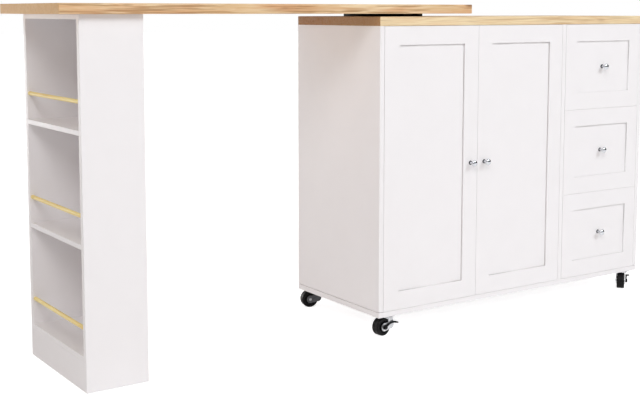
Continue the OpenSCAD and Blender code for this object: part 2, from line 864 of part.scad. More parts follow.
placed() at_castor("fl") castor_wheel();  // castor_wheel_fl
placed() at_castor("fr") castor_wheel();  // castor_wheel_fr
placed() at_castor("rl") castor_wheel();  // castor_wheel_rl
placed() at_castor("rr") castor_wheel();  // castor_wheel_rr
placed() at_castor("fl") brake_lever();  // brake_lever_fl
placed() at_castor("fr") brake_lever();  // brake_lever_fr
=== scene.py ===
"""Looks of an extendable kitchen island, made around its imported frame.

All lengths are metres in the frame's own axes: +X along the island towards the cabinet, +Y to the
back, +Z up, with the origin on the floor under the middle of the island.
"""

from __future__ import annotations

import json
import logging
import math
from collections.abc import Callable
from dataclasses import dataclass, replace
from enum import Enum
from functools import partial

import bmesh
import bpy
from bmesh.types import BMesh, BMVert
from bpy.types import ID, Material, Mesh, Node, NodeSocket, NodeTree, Object
from mathutils import Matrix, Vector


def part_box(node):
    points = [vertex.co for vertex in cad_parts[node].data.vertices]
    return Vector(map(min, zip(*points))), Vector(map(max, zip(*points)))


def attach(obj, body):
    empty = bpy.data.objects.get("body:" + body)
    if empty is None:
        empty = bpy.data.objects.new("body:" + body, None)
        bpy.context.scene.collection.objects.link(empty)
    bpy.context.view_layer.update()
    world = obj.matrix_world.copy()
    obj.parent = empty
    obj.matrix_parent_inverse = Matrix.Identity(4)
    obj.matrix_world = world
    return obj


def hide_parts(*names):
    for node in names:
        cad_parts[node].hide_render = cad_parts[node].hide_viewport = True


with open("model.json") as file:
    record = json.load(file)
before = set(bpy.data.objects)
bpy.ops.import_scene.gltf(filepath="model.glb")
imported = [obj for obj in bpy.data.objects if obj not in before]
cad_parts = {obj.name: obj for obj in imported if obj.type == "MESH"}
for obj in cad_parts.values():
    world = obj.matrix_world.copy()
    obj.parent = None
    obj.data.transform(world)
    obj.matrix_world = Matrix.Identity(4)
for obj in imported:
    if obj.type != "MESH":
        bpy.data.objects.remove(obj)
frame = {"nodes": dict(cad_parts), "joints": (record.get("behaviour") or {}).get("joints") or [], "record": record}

log = logging.getLogger("island")
MM = 0.001
UP, BACK = Vector((0, 0, 1)), Vector((0, 1, 0))

Value = NodeSocket | float | int | bool | str | tuple | list
Feeds = dict[str | int, Value] | tuple[Value, ...]
Adder = Callable[..., NodeSocket | None]
Pair = tuple[float, float]
Triple = tuple[float, float, float]
Profile = list[Pair]


class Slot(Enum):
    """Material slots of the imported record."""

    BOARD = "white_board"
    TOP = "top_wood"
    BOX = "box_wood"
    RAIL = "rail_wood"
    KNOB = "knob_chrome"
    ZINC = "zinc_steel"
    RING = "black_steel"
    PLASTIC = "black_plastic"


class Corner(Enum):
    """What a finished mesh does at its edges."""

    FACETED = "faceted"
    EVEN = "even"
    ROUND = "round"


def linear(code: str) -> tuple[float, float, float, float]:
    """Turn an sRGB hex colour into the linear values that nodes take.

    Args:
        code: Six hex digits, red first.

    Returns:
        Red, green, blue and an alpha of one.
    """
    parts = [int(code[i : i + 2], 16) / 255 for i in (0, 2, 4)]
    red, green, blue = (p / 12.92 if p <= 0.04045 else ((p + 0.055) / 1.055) ** 2.4 for p in parts)
    return red, green, blue, 1.0


def feed(node: Node, feeds: Feeds) -> None:
    """Give a node's inputs their values and links.

    Args:
        node: The node.
        feeds: Sockets or values for its inputs, by name or number, or in their order. An input
            that joins several sockets gets a list.
    """
    for key, value in (feeds if isinstance(feeds, dict) else dict(enumerate(feeds))).items():
        for each in value if isinstance(value, list) else [value]:
            if isinstance(each, NodeSocket):
                node.id_data.links.new(each, node.inputs[key])
            else:
                node.inputs[key].default_value = each


def add_node(
    tree: NodeTree, kind: str, feeds: Feeds = (), out: int | str = 0, **settings: Value
) -> NodeSocket | None:
    """Add one node with its settings, its values and its links.

    Args:
        tree: Tree that gets the node.
        kind: Blender's name of the node type.
        feeds: Sockets or values for its inputs, by name or number, or in their order.
        out: Name or number of the output that is wanted.
        **settings: The node's own properties.

    Returns:
        That output, if the node has any.
    """
    made = tree.nodes.new(kind)
    for name, value in settings.items():
        setattr(made, name, value)
    feed(made, feeds)
    return made.outputs[out] if len(made.outputs) else None


# Finishes, whose colours are sRGB hex values

CLOUD = (0.3, 0.7)  # Nearly all values of a cloudy pattern lie between these


@dataclass(frozen=True)
class Finish:
    """A real surface: a base colour and the gloss of a shader, with nothing drawn on it."""

    name: str  # Common name of the material and how its surface was made
    color: str  # The clean surface
    roughness: float  # Mean roughness of the surface
    metallic: float = 0.0  # One for bare metal, else nought
    ior: float = 1.5  # Refractive index of the surface coat

    def make(self) -> Material:
        """Build the material with its nodes.

        Returns:
            The material.
        """
        material = bpy.data.materials.new(self.name)
        material.use_nodes = True
        shader = material.node_tree.nodes["Principled BSDF"]
        even = {"Roughness": self.roughness, "Metallic": self.metallic, "IOR": self.ior}
        feed(shader, {"Base Color": linear(self.color), **even})
        add = partial(add_node, material.node_tree)
        feed(shader, self.draw(add, add("ShaderNodeTexCoord", out="Object")))
        return material

    def draw(self, add: Adder, place: NodeSocket) -> dict[str, NodeSocket]:
        """Draw the surface's pattern; a plain finish has none.

        Args:
            add: Adds a node to the material.
            place: Object coordinates.

        Returns:
            What the shader's inputs get.
        """
        return {}

    def clouds(self, add: Adder, place: NodeSocket, *sizes: Triple) -> list[NodeSocket]:
        """Draw cloudy patterns, each from nought to one.

        Args:
            add: Adds a node to the material.
            place: Coordinates.
            *sizes: A feature's length along X and its width, and octaves of detail.

        Returns:
            The patterns.
        """
        drawn = []
        for along, across, detail in sizes:
            spot = {"Vector": place, "Scale": (1 / along, 1 / across, 1 / across)}
            cloud = {"Vector": add("ShaderNodeMapping", spot), "Scale": 1.0, "Detail": detail}
            drawn.append(add("ShaderNodeTexNoise", cloud))
        return drawn

    def surface(
        self,
        add: Adder,
        layers: list[tuple[NodeSocket, str]],
        worn: tuple[NodeSocket, float, float],
        relief: tuple[NodeSocket, float, float] | None = None,
    ) -> dict[str, NodeSocket]:
        """Lay colours over the clean surface, and give it its gloss and its relief.

        Args:
            add: Adds a node to the material.
            layers: Pattern and sRGB hex value of each colour, the lowest first.
            worn: Pattern of the gloss, and what it takes from and adds to the roughness.
            relief: Pattern, depth and strength of the relief.

        Returns:
            What the shader's inputs get.
        """
        tone = linear(self.color)
        for share, color in layers:
            tone = add("ShaderNodeMix", {0: share, 6: tone, 7: linear(color)}, 2, data_type="RGBA")
        pattern, less, more = worn
        gloss = (pattern, *CLOUD, self.roughness - less, self.roughness + more)
        feeds = {"Base Color": tone, "Roughness": add("ShaderNodeMapRange", gloss)}
        if relief:
            bump = dict(zip(("Height", "Distance", "Strength"), relief))
            feeds["Normal"] = add("ShaderNodeBump", bump)
        return feeds


@dataclass(frozen=True)
class SprayedPaint(Finish):
    """Satin polyurethane paint sprayed on fibreboard: even, with a fine orange peel."""

    peel: float = 2.5 * MM  # Width of a bump of the orange peel
    peel_depth: float = 0.02 * MM  # Depth of the orange peel
    shade: str = "F0EDEE"  # The paint's faint clouds

    def draw(self, add: Adder, place: NodeSocket) -> dict[str, NodeSocket]:
        """Draw the paint's faint cloudiness, its gloss and its orange peel.

        Args:
            add: Adds a node to the material.
            place: Object coordinates.

        Returns:
            What the shader's inputs get.
        """
        sizes = (60 * MM, 60 * MM, 4), (40 * MM, 40 * MM, 3), (self.peel, self.peel, 2)
        cloud, rub, peel = self.clouds(add, place, *sizes)
        share = add("ShaderNodeMapRange", (cloud, *CLOUD, 0.0, 0.6))
        relief = (peel, self.peel_depth, 0.35)
        return self.surface(add, [(share, self.shade)], (rub, 0.04, 0.05), relief)


@dataclass(frozen=True)
class SolidWood(Finish):
    """Planed wood under a clear satin lacquer: growth rings, fibres, streaks and knots.

    The pattern is cut out of a log that lies along the grain, so that end grain shows arcs.
    """

    late: str = "CFA46C"  # Dark late wood
    heart: str = "D6A173"  # Reddish heartwood
    streak: str = "94642E"  # Mineral streaks
    knot: str = "5C3819"  # Knots
    ring: float = 7 * MM  # Width of a growth ring
    pith: float = 90 * MM  # How far below the surface the middle of the log lies
    turn: float = 0.0  # Turn about Z that brings the grain to X, in degrees
    scatter: Triple = (1.7, 0.31, 0.17)  # How far apart in the log the boards are cut
    knot_pitch: Pair = (130 * MM, 32 * MM)  # Distance of the knots along and across the grain
    streaks: float = 1.0  # Strength of the dark streaks and knots
    end: str = "D6AB71"  # End grain
    end_shine: float = 0.1  # Specular level of end grain, where 0.5 is that of the lacquer

    def draw(self, add: Adder, place: NodeSocket) -> dict[str, NodeSocket]:
        """Draw rings, fibres, streaks and knots, and the lacquer's gloss over them.

        Args:
            add: Adds a node to the material.
            place: Object coordinates.

        Returns:
            What the shader's inputs get.
        """
        board = add("ShaderNodeAttribute", (), "Vector", attribute_name="board")
        cut = (board, self.scatter, place)
        cut = add("ShaderNodeVectorMath", cut, operation="MULTIPLY_ADD")
        turn = math.radians(self.turn)
        grain = add("ShaderNodeMapping", {"Vector": cut, "Rotation": (0.0, 0.0, turn)})

        # Each glued board is somewhere between pale clean sapwood and reddish streaky heartwood
        own = add("ShaderNodeSeparateXYZ", (board,), "X")
        ripe, marked, figured = (
            add("ShaderNodeMapRange", (own, -1.0, high, least, most))
            for high, least, most in (
                (1.0, 0.0, 0.5 * self.streaks),
                (0.2, 0.25 * self.streaks, self.streaks),
                (0.2, 0.4, 1.0),
            )
        )

        # Knots: drawn out along the grain, a few in each square metre
        along, across = self.knot_pitch
        flat = {"Vector": grain, "Scale": (1 / along, 1 / across, 1 / across)}
        flat = {"Vector": add("ShaderNodeMapping", flat), "Scale": 1.0}
        cell = add("ShaderNodeTexVoronoi", flat, "Distance")
        rare = add("ShaderNodeSeparateColor", (cell.node.outputs["Color"],), "Red")
        rare = add("ShaderNodeMapRange", (rare, 0.5, 0.55, 0.0, 1.0))
        rare = add("ShaderNodeMath", (rare, marked), operation="MULTIPLY")

        # Fibres are a third of a millimetre wide; they are drawn at 1.6 mm so that they show.
        # Bands of late wood and of heartwood are a centimetre wide
        wander, fibres, bands, core, lines = self.clouds(
            add,
            grain,
            (420 * MM, 60 * MM, 3),
            (42 * MM, 1.6 * MM, 3),
            (240 * MM, 11 * MM, 4),
            (170 * MM, 16 * MM, 3),
            (170 * MM, 5 * MM, 3),
        )

        # How strongly each of them shows on each board
        knots, bulge, bands, core, lines = (
            add("ShaderNodeMath", (add("ShaderNodeMapRange", reach), share), operation="MULTIPLY")
            for reach, share in (
                ((cell, 0.06, 0.19, 1.0, 0.0), rare),
                ((cell, 0.05, 0.5, 1.0, 0.0), rare),
                ((bands, 0.42, 0.66, 0.0, 0.75), figured),
                ((core, 0.45, 0.62, 0.0, 0.85), marked),
                ((lines, 0.53, 0.63, 0.0, 0.95), marked),
            )
        )
        rim = add("ShaderNodeMath", (bulge, 0.8), operation="MULTIPLY")

        # Growth rings around the pith, which wander and part around the knots
        side = add("ShaderNodeSeparateXYZ", (grain,), "Y")
        low = add("ShaderNodeMath", (side.node.outputs["Z"], self.pith), operation="ADD")
        spot = add("ShaderNodeCombineXYZ", {"Y": side, "Z": low})
        ring = add("ShaderNodeVectorMath", (spot,), "Value", operation="LENGTH")
        for pattern, width in ((wander, 60 * MM), (bulge, 14 * MM)):
            ring = add("ShaderNodeMath", (pattern, width, ring), operation="MULTIPLY_ADD")
        ring = add("ShaderNodeMath", (ring, self.ring), operation="DIVIDE")
        ring = add("ShaderNodeMath", (ring,), operation="FRACT")
        edge = add("ShaderNodeMapRange", (ring, 0.86, 1.0, 1.0, 0.0))
        ring = add("ShaderNodeMath", (ring, 2.5), operation="POWER")
        ring = add("ShaderNodeMath", (ring, edge), operation="MULTIPLY")

        # On end grain the fibres are only fine pores, so they fade there
        facing = add("ShaderNodeTexCoord", out="Normal")
        facing = (facing, (math.cos(turn), -math.sin(turn), 0.0))
        end = add("ShaderNodeVectorMath", facing, "Value", operation="DOT_PRODUCT")
        end = add("ShaderNodeMath", (end,), operation="ABSOLUTE")
        fine = add("ShaderNodeMapRange", (fibres, *CLOUD, 0.15, 0.8))
        fine = add("ShaderNodeMix", {0: end, 2: fine, 3: 0.45}, data_type="FLOAT")
        late = add("ShaderNodeMath", (ring, fine), operation="MULTIPLY")

        # Sawn ends soak up the lacquer, so they are darker and hardly shine; the worktop's darker end colour is
        # painted shade
        sawn = add("ShaderNodeMapRange", (end, 0.5, 0.9, 0.0, 0.8))
        shine = add("ShaderNodeMapRange", (end, 0.5, 0.9, 0.5, self.end_shine))
        layers = [(late, self.late), (bands, self.late), (core, self.heart), (lines, self.streak)]
        layers += [(rim, self.heart), (knots, self.knot), (ripe, self.heart), (sawn, self.end)]
        feeds = self.surface(add, layers, (fibres, 0.05, 0.08), (fibres, 0.05 * MM, 0.4))
        return feeds | {"Specular IOR Level": shine}


@dataclass(frozen=True)
class MetalPlate(Finish):
    """Plated steel: a bright coat whose gloss and tone change in patches, with painted shade where a point
    attribute marks it.
    """

    patch: float = 4 * MM  # Size of a patch
    rub: float = 0.05  # How much rougher the rubbed places are
    dark: str = "9A9DA1"  # The patches
    dull: str = "4A4B4E"  # Colour of the painted shade that a point attribute of the piece lays on it

    def draw(self, add: Adder, place: NodeSocket) -> dict[str, NodeSocket]:
        """Draw the coat's patches, the fine rubbing on it and the painted shade that a point attribute marks.

        Args:
            add: Adds a node to the material.
            place: Object coordinates.

        Returns:
            What the shader's inputs get.
        """
        sizes = (self.patch, self.patch, 2), (1.2 * MM, 1.2 * MM, 3)
        patches, worn = self.clouds(add, place, *sizes)
        share = add("ShaderNodeMapRange", (patches, *CLOUD, 0.0, 0.6))
        # Painted shade, laid where the piece's point attribute marks it
        dull = add("ShaderNodeAttribute", (), "Fac", attribute_name="dull")
        layers = [(share, self.dark), (dull, self.dull)]
        return self.surface(add, layers, (worn, 0.0, self.rub))


@dataclass(frozen=True)
class Grit(Finish):
    """Powder coat or moulded plastic: one dark colour with a fine dull texture."""

    grit: float = 0.8 * MM  # Size of a grain of the texture
    depth: float = 0.03 * MM  # Depth of the texture
    dust: str = "1C1B1C"  # The rubbed and dusty places

    def draw(self, add: Adder, place: NodeSocket) -> dict[str, NodeSocket]:
        """Draw the texture and the rubbed places.

        Args:
            add: Adds a node to the material.
            place: Object coordinates.

        Returns:
            What the shader's inputs get.
        """
        sizes = (14 * MM, 14 * MM, 4), (self.grit, self.grit, 2)
        rubbed, texture = self.clouds(add, place, *sizes)
        share = add("ShaderNodeMapRange", (rubbed, 0.45, 0.8, 0.0, 0.5))
        relief = (texture, self.depth, 0.5)
        return self.surface(add, [(share, self.dust)], (texture, 0.05, 0.07), relief)


FINISHES: dict[Slot, Finish] = {
    # Fibreboard with sprayed satin paint: a cold white with soft, broad highlights
    Slot.BOARD: SprayedPaint("sprayed_satin_paint", "F2EFF0", 0.42),
    # Knotty edge-glued boards, planed and lacquered: honey-coloured, with brown streaks
    Slot.TOP: SolidWood("lacquered_knotty_boards", "F1DDB6", 0.42),
    # Sanded poplar: pale and nearly without figure
    Slot.BOX: SolidWood(
        "sanded_poplar", "E7D9BC", 0.6, late="D3BE98", heart="D8C39B", streak="C0A67C",
        knot="A88A5E", turn=-90, streaks=0.3,
    ),
    # Turned pine under clear varnish: yellow, with fine straight grain
    Slot.RAIL: SolidWood(
        "varnished_pine", "FEEDA0", 0.38, late="EBCC70", heart="F4D880", streak="D09C46",
        knot="B98534", ring=3 * MM, turn=-90, streaks=0.4,
    ),
    # Chrome on brass: mirror-like, with a slight blue
    Slot.KNOB: MetalPlate("polished_chrome", "DADCE0", 0.07, 1.0, patch=9 * MM, dark="C3C6CC"),
    # Bright zinc plate on pressed steel: silver, with dull patches
    Slot.ZINC: MetalPlate("zinc_plated_steel", "E4E5E8", 0.3, 1.0, rub=0.12),
    # Black powder coat on steel rings: nearly matt, with a fine texture
    Slot.RING: Grit("black_powder_coat", "060606", 0.55, dust="101011"),
    # Moulded polypropylene: a soft black that shows rubbed places
    Slot.PLASTIC: Grit(
        "moulded_black_plastic", "050405", 0.5, ior=1.3, grit=0.6 * MM, dust="0E0C0E"
    ),
}

# The worktop's sawn ends are darker than those of the table top: painted shade from the table above them
WORKTOP_WOOD = replace(FINISHES[Slot.TOP], name="lacquered_boards_with_painted_shade_on_ends", end="9A6A3A")


# Meshes

WELD = 0.002 * MM  # Points closer than this become one
FLAT = math.radians(0.4)  # Faces that meet at less than this become one
STEEP = math.radians(60)  # Edges that are steeper than this are eased
SHORT = 10 * MM  # Shorter edges stay sharp, such as those of holes
FORMED = 40.0  # Angle over which turned and pressed nodes keep a sharp edge, in degrees


def added(name: str, data: ID | None) -> Object:
    """Put data into the scene as an object at the origin.

    Args:
        name: Name of the object.
        data: Its mesh, lamp or camera.

    Returns:
        The object.
    """
    piece = bpy.data.objects.new(name, data)
    bpy.context.scene.collection.objects.link(piece)
    return piece


def baked(piece: Object) -> Object:
    """Turn a piece's modifiers into plain mesh.

    Args:
        piece: The piece.

    Returns:
        The same piece, without modifiers.
    """
    bpy.context.view_layer.update()
    evaluated = piece.evaluated_get(bpy.context.evaluated_depsgraph_get())
    mesh = bpy.data.meshes.new_from_object(evaluated)
    old, name = piece.data, piece.name
    piece.modifiers.clear()
    piece.data = mesh
    bpy.data.meshes.remove(old)
    mesh.name = name
    return piece


def evened(piece: Object) -> Object:
    """Shade a piece smooth, led by its large faces, and bake its modifiers.

    Args:
        piece: The piece.

    Returns:
        The same piece.
    """
    piece.data.shade_smooth()
    even = piece.modifiers.new("even shading", "WEIGHTED_NORMAL")
    even.mode, even.weight = "FACE_AREA", 100
    return baked(piece)


def finished(
    name: str, work: BMesh, corner: Corner, crease: float = 50.0, drill: Object | None = None
) -> Object:
    """Put a work mesh into the scene as a piece and set how its edges are shaded.

    Args:
        name: Name of the piece.
        work: Its work mesh, already in place, which is freed.
        corner: How the edges are shaded.
        crease: Angle over which a round piece keeps a sharp edge, in degrees.
        drill: Object whose form is cut out of an evenly shaded piece.

    Returns:
        The new piece.
    """
    mesh = bpy.data.meshes.new(name)
    work.to_mesh(mesh)
    work.free()
    piece = added(name, mesh)
    if corner is Corner.ROUND:
        mesh.shade_smooth()
        mesh.set_sharp_from_angle(angle=math.radians(crease))
    if drill:
        cut = piece.modifiers.new("pockets", "BOOLEAN")
        cut.object, cut.operation, cut.solver = drill, "DIFFERENCE", "EXACT"
    return evened(piece) if corner is Corner.EVEN else piece


def merged(node: str) -> BMesh:
    """Copy a node of the frame, with its loose triangles joined to closed flat faces.

    Args:
        node: Name of the node.

    Returns:
        The copy.
    """
    work = bmesh.new()
    work.from_mesh(frame["nodes"][node].data)
    bmesh.ops.remove_doubles(work, verts=work.verts, dist=WELD)
    bmesh.ops.dissolve_limit(work, angle_limit=FLAT, verts=work.verts, edges=work.edges)
    return work


def eased(
    node: str, ease: float, foot: float = 0.0, paint: float = 0.0, drill: Object | None = None
) -> Object:
    """Copy a board of the frame and round its long outer edges.

    Args:
        node: Name of the node.
        ease: Radius of the rounding.
        foot: Width of the chamfer along the lowest edges.
        paint: Thickness of the filler and paint on the top and bottom edges.
        drill: Object whose form is cut out of the board.

    Returns:
        The eased board.
    """
    work = merged(node)
    low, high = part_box(node)
    for v in work.verts:
        v.co.z += paint * ((v.co.z > high.z - MM) - (v.co.z < low.z + MM))
    if foot:
        edges = [e for e in work.edges if all(v.co.z < low.z + MM for v in e.verts)]
        bmesh.ops.bevel(work, geom=edges, offset=foot, segments=1, affect="EDGES")
    edges = [
        e
        for e in work.edges
        if e.is_manifold and e.is_convex and e.calc_face_angle() > STEEP and e.calc_length() > SHORT
    ]
    bmesh.ops.bevel(
        work, geom=edges, offset=ease, segments=2, profile=0.5, affect="EDGES", clamp_overlap=True
    )
    return finished(f"{node}_eased", work, Corner.EVEN, drill=drill)


def seated_panel(node: str, groove: float, play: Pair, depth: float) -> Object:
    """Copy a door's panel with a fine shadow gap where it enters the frame's groove.

    The panel rests in the lower groove, so only its sides and its top show the gap.

    Args:
        node: Name of the panel's node.
        groove: Depth of the frame's groove.
        play: Width of the gap at the sides and at the top.
        depth: Depth of the gap.

    Returns:
        The panel.
    """
    low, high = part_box(node)
    left, right = low.x + groove + play[0], high.x - groove - play[0]
    top = high.z - groove - play[1]
    work = merged(node)
    for v in work.verts:
        v.co.y += depth * (v.co.y < low.y + MM)
    cuts = [((left, 0, 0), (1, 0, 0)), ((right, 0, 0), (1, 0, 0)), ((0, 0, top), (0, 0, 1))]
    for spot, way in cuts:
        parts = work.verts[:] + work.edges[:] + work.faces[:]
        bmesh.ops.bisect_plane(work, geom=parts, plane_co=spot, plane_no=way)
    field = []
    for face in work.faces:
        middle = face.calc_center_median()
        inside = left < middle.x < right and middle.z < top
        if inside and middle.y < low.y + depth + 0.1 * MM:
            field.append(face)
    raised = bmesh.ops.extrude_face_region(work, geom=field)["geom"]
    bmesh.ops.delete(work, geom=field, context="FACES_ONLY")
    for v in raised:
        if isinstance(v, BMVert):
            v.co.y -= depth
    bmesh.ops.recalc_face_normals(work, faces=work.faces)
    return finished(f"{node}_seated", work, Corner.FACETED)


def lathe(profile: Profile, place: Matrix, steps: int) -> BMesh:
    """Turn a profile about an axis to a closed shape.

    Args:
        profile: Points of radius and height; a radius of nought lies on the axis.
        place: Where the axis, which is the profile's Z, goes.
        steps: Number of faces around.

    Returns:
        The turned shape in place.
    """
    work = bmesh.new()
    rows = []
    for radius, height in profile:
        turns = [2 * math.pi * k / steps for k in range(steps)] if radius > WELD else [0.0]
        spots = [(radius * math.cos(t), radius * math.sin(t), height) for t in turns]
        rows.append([work.verts.new(spot) for spot in spots])
    closed = len(rows[0]) > 1 and len(rows[-1]) > 1
    for low, high in zip(rows, rows[1:] + rows[:1] if closed else rows[1:]):
        for k in range(steps):
            ring = [low[k % len(low)], low[(k + 1) % len(low)]]
            ring += [high[(k + 1) % len(high)], high[k % len(high)]]
            corners = list(dict.fromkeys(ring))
            if len(corners) > 2:
                work.faces.new(corners)
    bmesh.ops.recalc_face_normals(work, faces=work.faces)
    work.transform(place)
    return work


def arc(middle: Pair, radius: float, start: float, end: float, steps: int = 3) -> Profile:
    """Give points on an arc of a profile.

    Args:
        middle: Middle of the arc.
        radius: Its radius.
        start: Angle of its first point, in degrees.
        end: Angle of its last point, in degrees.
        steps: Number of steps between them.

    Returns:
        The points in order.
    """
    angles = [math.radians(start + (end - start) * k / steps) for k in range(steps + 1)]
    return [(middle[0] + radius * math.cos(a), middle[1] + radius * math.sin(a)) for a in angles]


def aimed(position: Vector, axis: Vector) -> Matrix:
    """Give the matrix that takes a shape to a position, with its Z along an axis."""
    return Matrix.Translation(position) @ axis.to_track_quat("Z", "Y").to_matrix().to_4x4()


def mark_painted_shade(piece: Object, amounts: list[float]) -> None:
    """Note how much painted shade a plated piece gets at each vertex, from nought to one."""
    piece.data.attributes.new("dull", "FLOAT", "POINT").data.foreach_set("value", amounts)


def measured(node: str, point: Vector, axis: Vector) -> Triple:
    """Measure a node of the frame about an axis.

    Args:
        node: Name of the node.
        point: A point on the axis.
        axis: Direction of the axis.

    Returns:
        The least and the greatest distance along the axis, and the greatest one from it.
    """
    offsets = [v.co - point for v in frame["nodes"][node].data.vertices]
    along = [o.dot(axis) for o in offsets]
    away = max((o - axis * a).length for o, a in zip(offsets, along))
    return min(along), max(along), away


def joint(name: str) -> tuple[Vector, Vector]:
    """Look up a joint of the frame: a point on its axis and the axis' direction."""
    found = next(j for j in frame["joints"] if j["name"] == name)
    return Vector(found["pos_m"]), Vector(found["axis"]).normalized()


# Patterns of Geometry Nodes

INPUT_KINDS = {float: "NodeSocketFloat", int: "NodeSocketInt", tuple: "NodeSocketVector"}


class Pattern:
    """A Geometry Nodes tree with named inputs, whose result is baked to a plain mesh."""

    def __init__(self, name: str, **sizes: type) -> None:
        """Start the tree.

        Args:
            name: Name of the tree.
            **sizes: Type of each named input: float, int or tuple.
        """
        self.tree = bpy.data.node_groups.new(name, "GeometryNodeTree")
        kinds = {label: INPUT_KINDS[kind] for label, kind in sizes.items()}
        kinds = {"Geometry": "NodeSocketGeometry", **kinds, "Material": "NodeSocketMaterial"}
        face = self.tree.interface
        self.keys = {
            label: face.new_socket(name=label, in_out="INPUT", socket_type=kind).identifier
            for label, kind in kinds.items()
        }
        face.new_socket(name="Geometry", in_out="OUTPUT", socket_type="NodeSocketGeometry")
        self.add: Adder = partial(add_node, self.tree)
        self.inputs = self.add("NodeGroupInput").node.outputs

    def repeat(
        self, points: NodeSocket, shape: NodeSocket, smooth: bool = False, **turn: NodeSocket
    ) -> None:
        """End the tree in real copies of a shape that have their material.

        Args:
            points: Where the copies go.
            shape: The shape.
            smooth: Whether its faces are shaded smooth.
            **turn: Rotation of the copies.
        """
        feeds = {"Points": points, "Instance": shape, **turn}
        copies = self.add("GeometryNodeInstanceOnPoints", feeds)
        real = self.add("GeometryNodeRealizeInstances", {"Geometry": copies})
        shaded = self.add("GeometryNodeSetShadeSmooth", {"Geometry": real, "Shade Smooth": smooth})
        feeds = {"Geometry": shaded, "Material": self.inputs["Material"]}
        self.add("NodeGroupOutput", {"Geometry": self.add("GeometryNodeSetMaterial", feeds)})

    def grow(
        self, name: str, material: Material, points: Mesh | None = None, **values: Value
    ) -> Object:
        """Run the tree and keep its result as a plain object at the origin.

        Args:
            name: Name of the piece.
            material: Finish of the piece.
            points: Mesh that the tree starts from.
            **values: Value of each named input.

        Returns:
            The baked piece.
        """
        piece = added(name, points or bpy.data.meshes.new(name))
        grown = piece.modifiers.new("pattern", "NODES")
        grown.node_group = self.tree
        for label, value in {**values, "Material": material}.items():
            grown[self.keys[label]] = value
        return baked(piece)


class ScrewHeads(Pattern):
    """Pan-head screws with a cross recess, one at each point of a mesh, facing its way."""

    def __init__(self) -> None:
        """Build the tree."""
        super().__init__("screw_heads", Diameter=float, Height=float, Slot=float)
        wide, high, slot = (self.inputs[size] for size in ("Diameter", "Height", "Slot"))
        radius = self.add("ShaderNodeMath", (wide, 0.5), operation="MULTIPLY")
        # The crown is 0.72 as wide as the base, and the recess reaches over 0.6 of the base
        crown = self.add("ShaderNodeMath", (radius, 0.72), operation="MULTIPLY")
        feeds = {"Vertices": 20, "Radius Top": crown, "Radius Bottom": radius, "Depth": high}
        head = self.add("GeometryNodeMeshCone", feeds)
        arms = []
        for sides, share in (((wide, slot), (0.6, 1.0, 1.1)), ((slot, wide), (1.0, 0.6, 1.1))):
            size = self.add("ShaderNodeCombineXYZ", (*sides, high))
            size = self.add("ShaderNodeVectorMath", (size, share), operation="MULTIPLY")
            feeds = {
                "Geometry": self.add("GeometryNodeMeshCube", {"Size": size}),
                "Translation": self.add("ShaderNodeCombineXYZ", {"Z": high}),
            }
            arms.append(self.add("GeometryNodeTransform", feeds))
        # Both arms of the cross overlap, so the cutter counts as one that meets itself
        cross = self.add("GeometryNodeJoinGeometry", (arms,))
        feeds = {"Mesh 1": head, "Mesh 2": cross, "Self Intersection": True}
        screw = self.add("GeometryNodeMeshBoolean", feeds, operation="DIFFERENCE", solver="EXACT")
        feeds, kind = {"Name": "way"}, "FLOAT_VECTOR"
        way = self.add("GeometryNodeInputNamedAttribute", feeds, data_type=kind)
        turn = self.add("FunctionNodeAlignRotationToVector", {"Vector": way}, axis="Z")
        self.repeat(self.inputs["Geometry"], screw, Rotation=turn)


class GluedBoards(Pattern):
    """A wooden top of boards glued edge to edge, each cut from its own place in the log."""

    def __init__(self) -> None:
        """Build the tree."""
        sizes = {name: float for name in ("Length", "Depth", "Thickness", "Joint")}
        super().__init__("glued_boards", **sizes, Boards=int, Seed=int, Middle=tuple)
        size, boards = self.inputs, self.inputs["Boards"]
        pitch = self.add("ShaderNodeMath", (size["Depth"], boards), operation="DIVIDE")
        width = self.add("ShaderNodeMath", (pitch, size["Joint"]), operation="SUBTRACT")
        sides = self.add("ShaderNodeCombineXYZ", (size["Length"], width, size["Thickness"]))
        board = self.add("GeometryNodeMeshCube", {"Size": sides})
        row = self.add("GeometryNodeInputIndex")
        half = self.add("ShaderNodeMath", (boards, 1.0), operation="SUBTRACT")
        step = self.add("ShaderNodeMath", (half, -0.5, row), operation="MULTIPLY_ADD")
        step = self.add("ShaderNodeMath", (step, pitch), operation="MULTIPLY")
        step = self.add("ShaderNodeCombineXYZ", {"Y": step})
        place = self.add("ShaderNodeVectorMath", (step, size["Middle"]))
        points = self.add("GeometryNodePoints", {"Count": boards, "Position": place})
        feeds = {0: (-1.0, -1.0, -1.0), 1: (1.0, 1.0, 1.0), "ID": row, "Seed": size["Seed"]}
        kind = {"data_type": "FLOAT_VECTOR"}
        cut = self.add("FunctionNodeRandomValue", feeds, **kind)
        feeds = {"Geometry": points, "Name": "board", "Value": cut}
        marked = self.add("GeometryNodeStoreNamedAttribute", feeds, **kind, domain="POINT")
        self.repeat(marked, board)


class BallRace(Pattern):
    """A circle of balls about Z."""

    def __init__(self) -> None:
        """Build the tree."""
        super().__init__("ball_race", Count=int, Circle=float, Ball=float, Middle=tuple)
        feeds = {"Vertices": self.inputs["Count"], "Radius": self.inputs["Circle"]}
        circle = self.add("GeometryNodeMeshCircle", feeds)
        feeds = {"Geometry": circle, "Translation": self.inputs["Middle"]}
        circle = self.add("GeometryNodeTransform", feeds)
        feeds = {"Segments": 20, "Rings": 12, "Radius": self.inputs["Ball"]}
        self.repeat(circle, self.add("GeometryNodeMeshUVSphere", feeds), smooth=True)


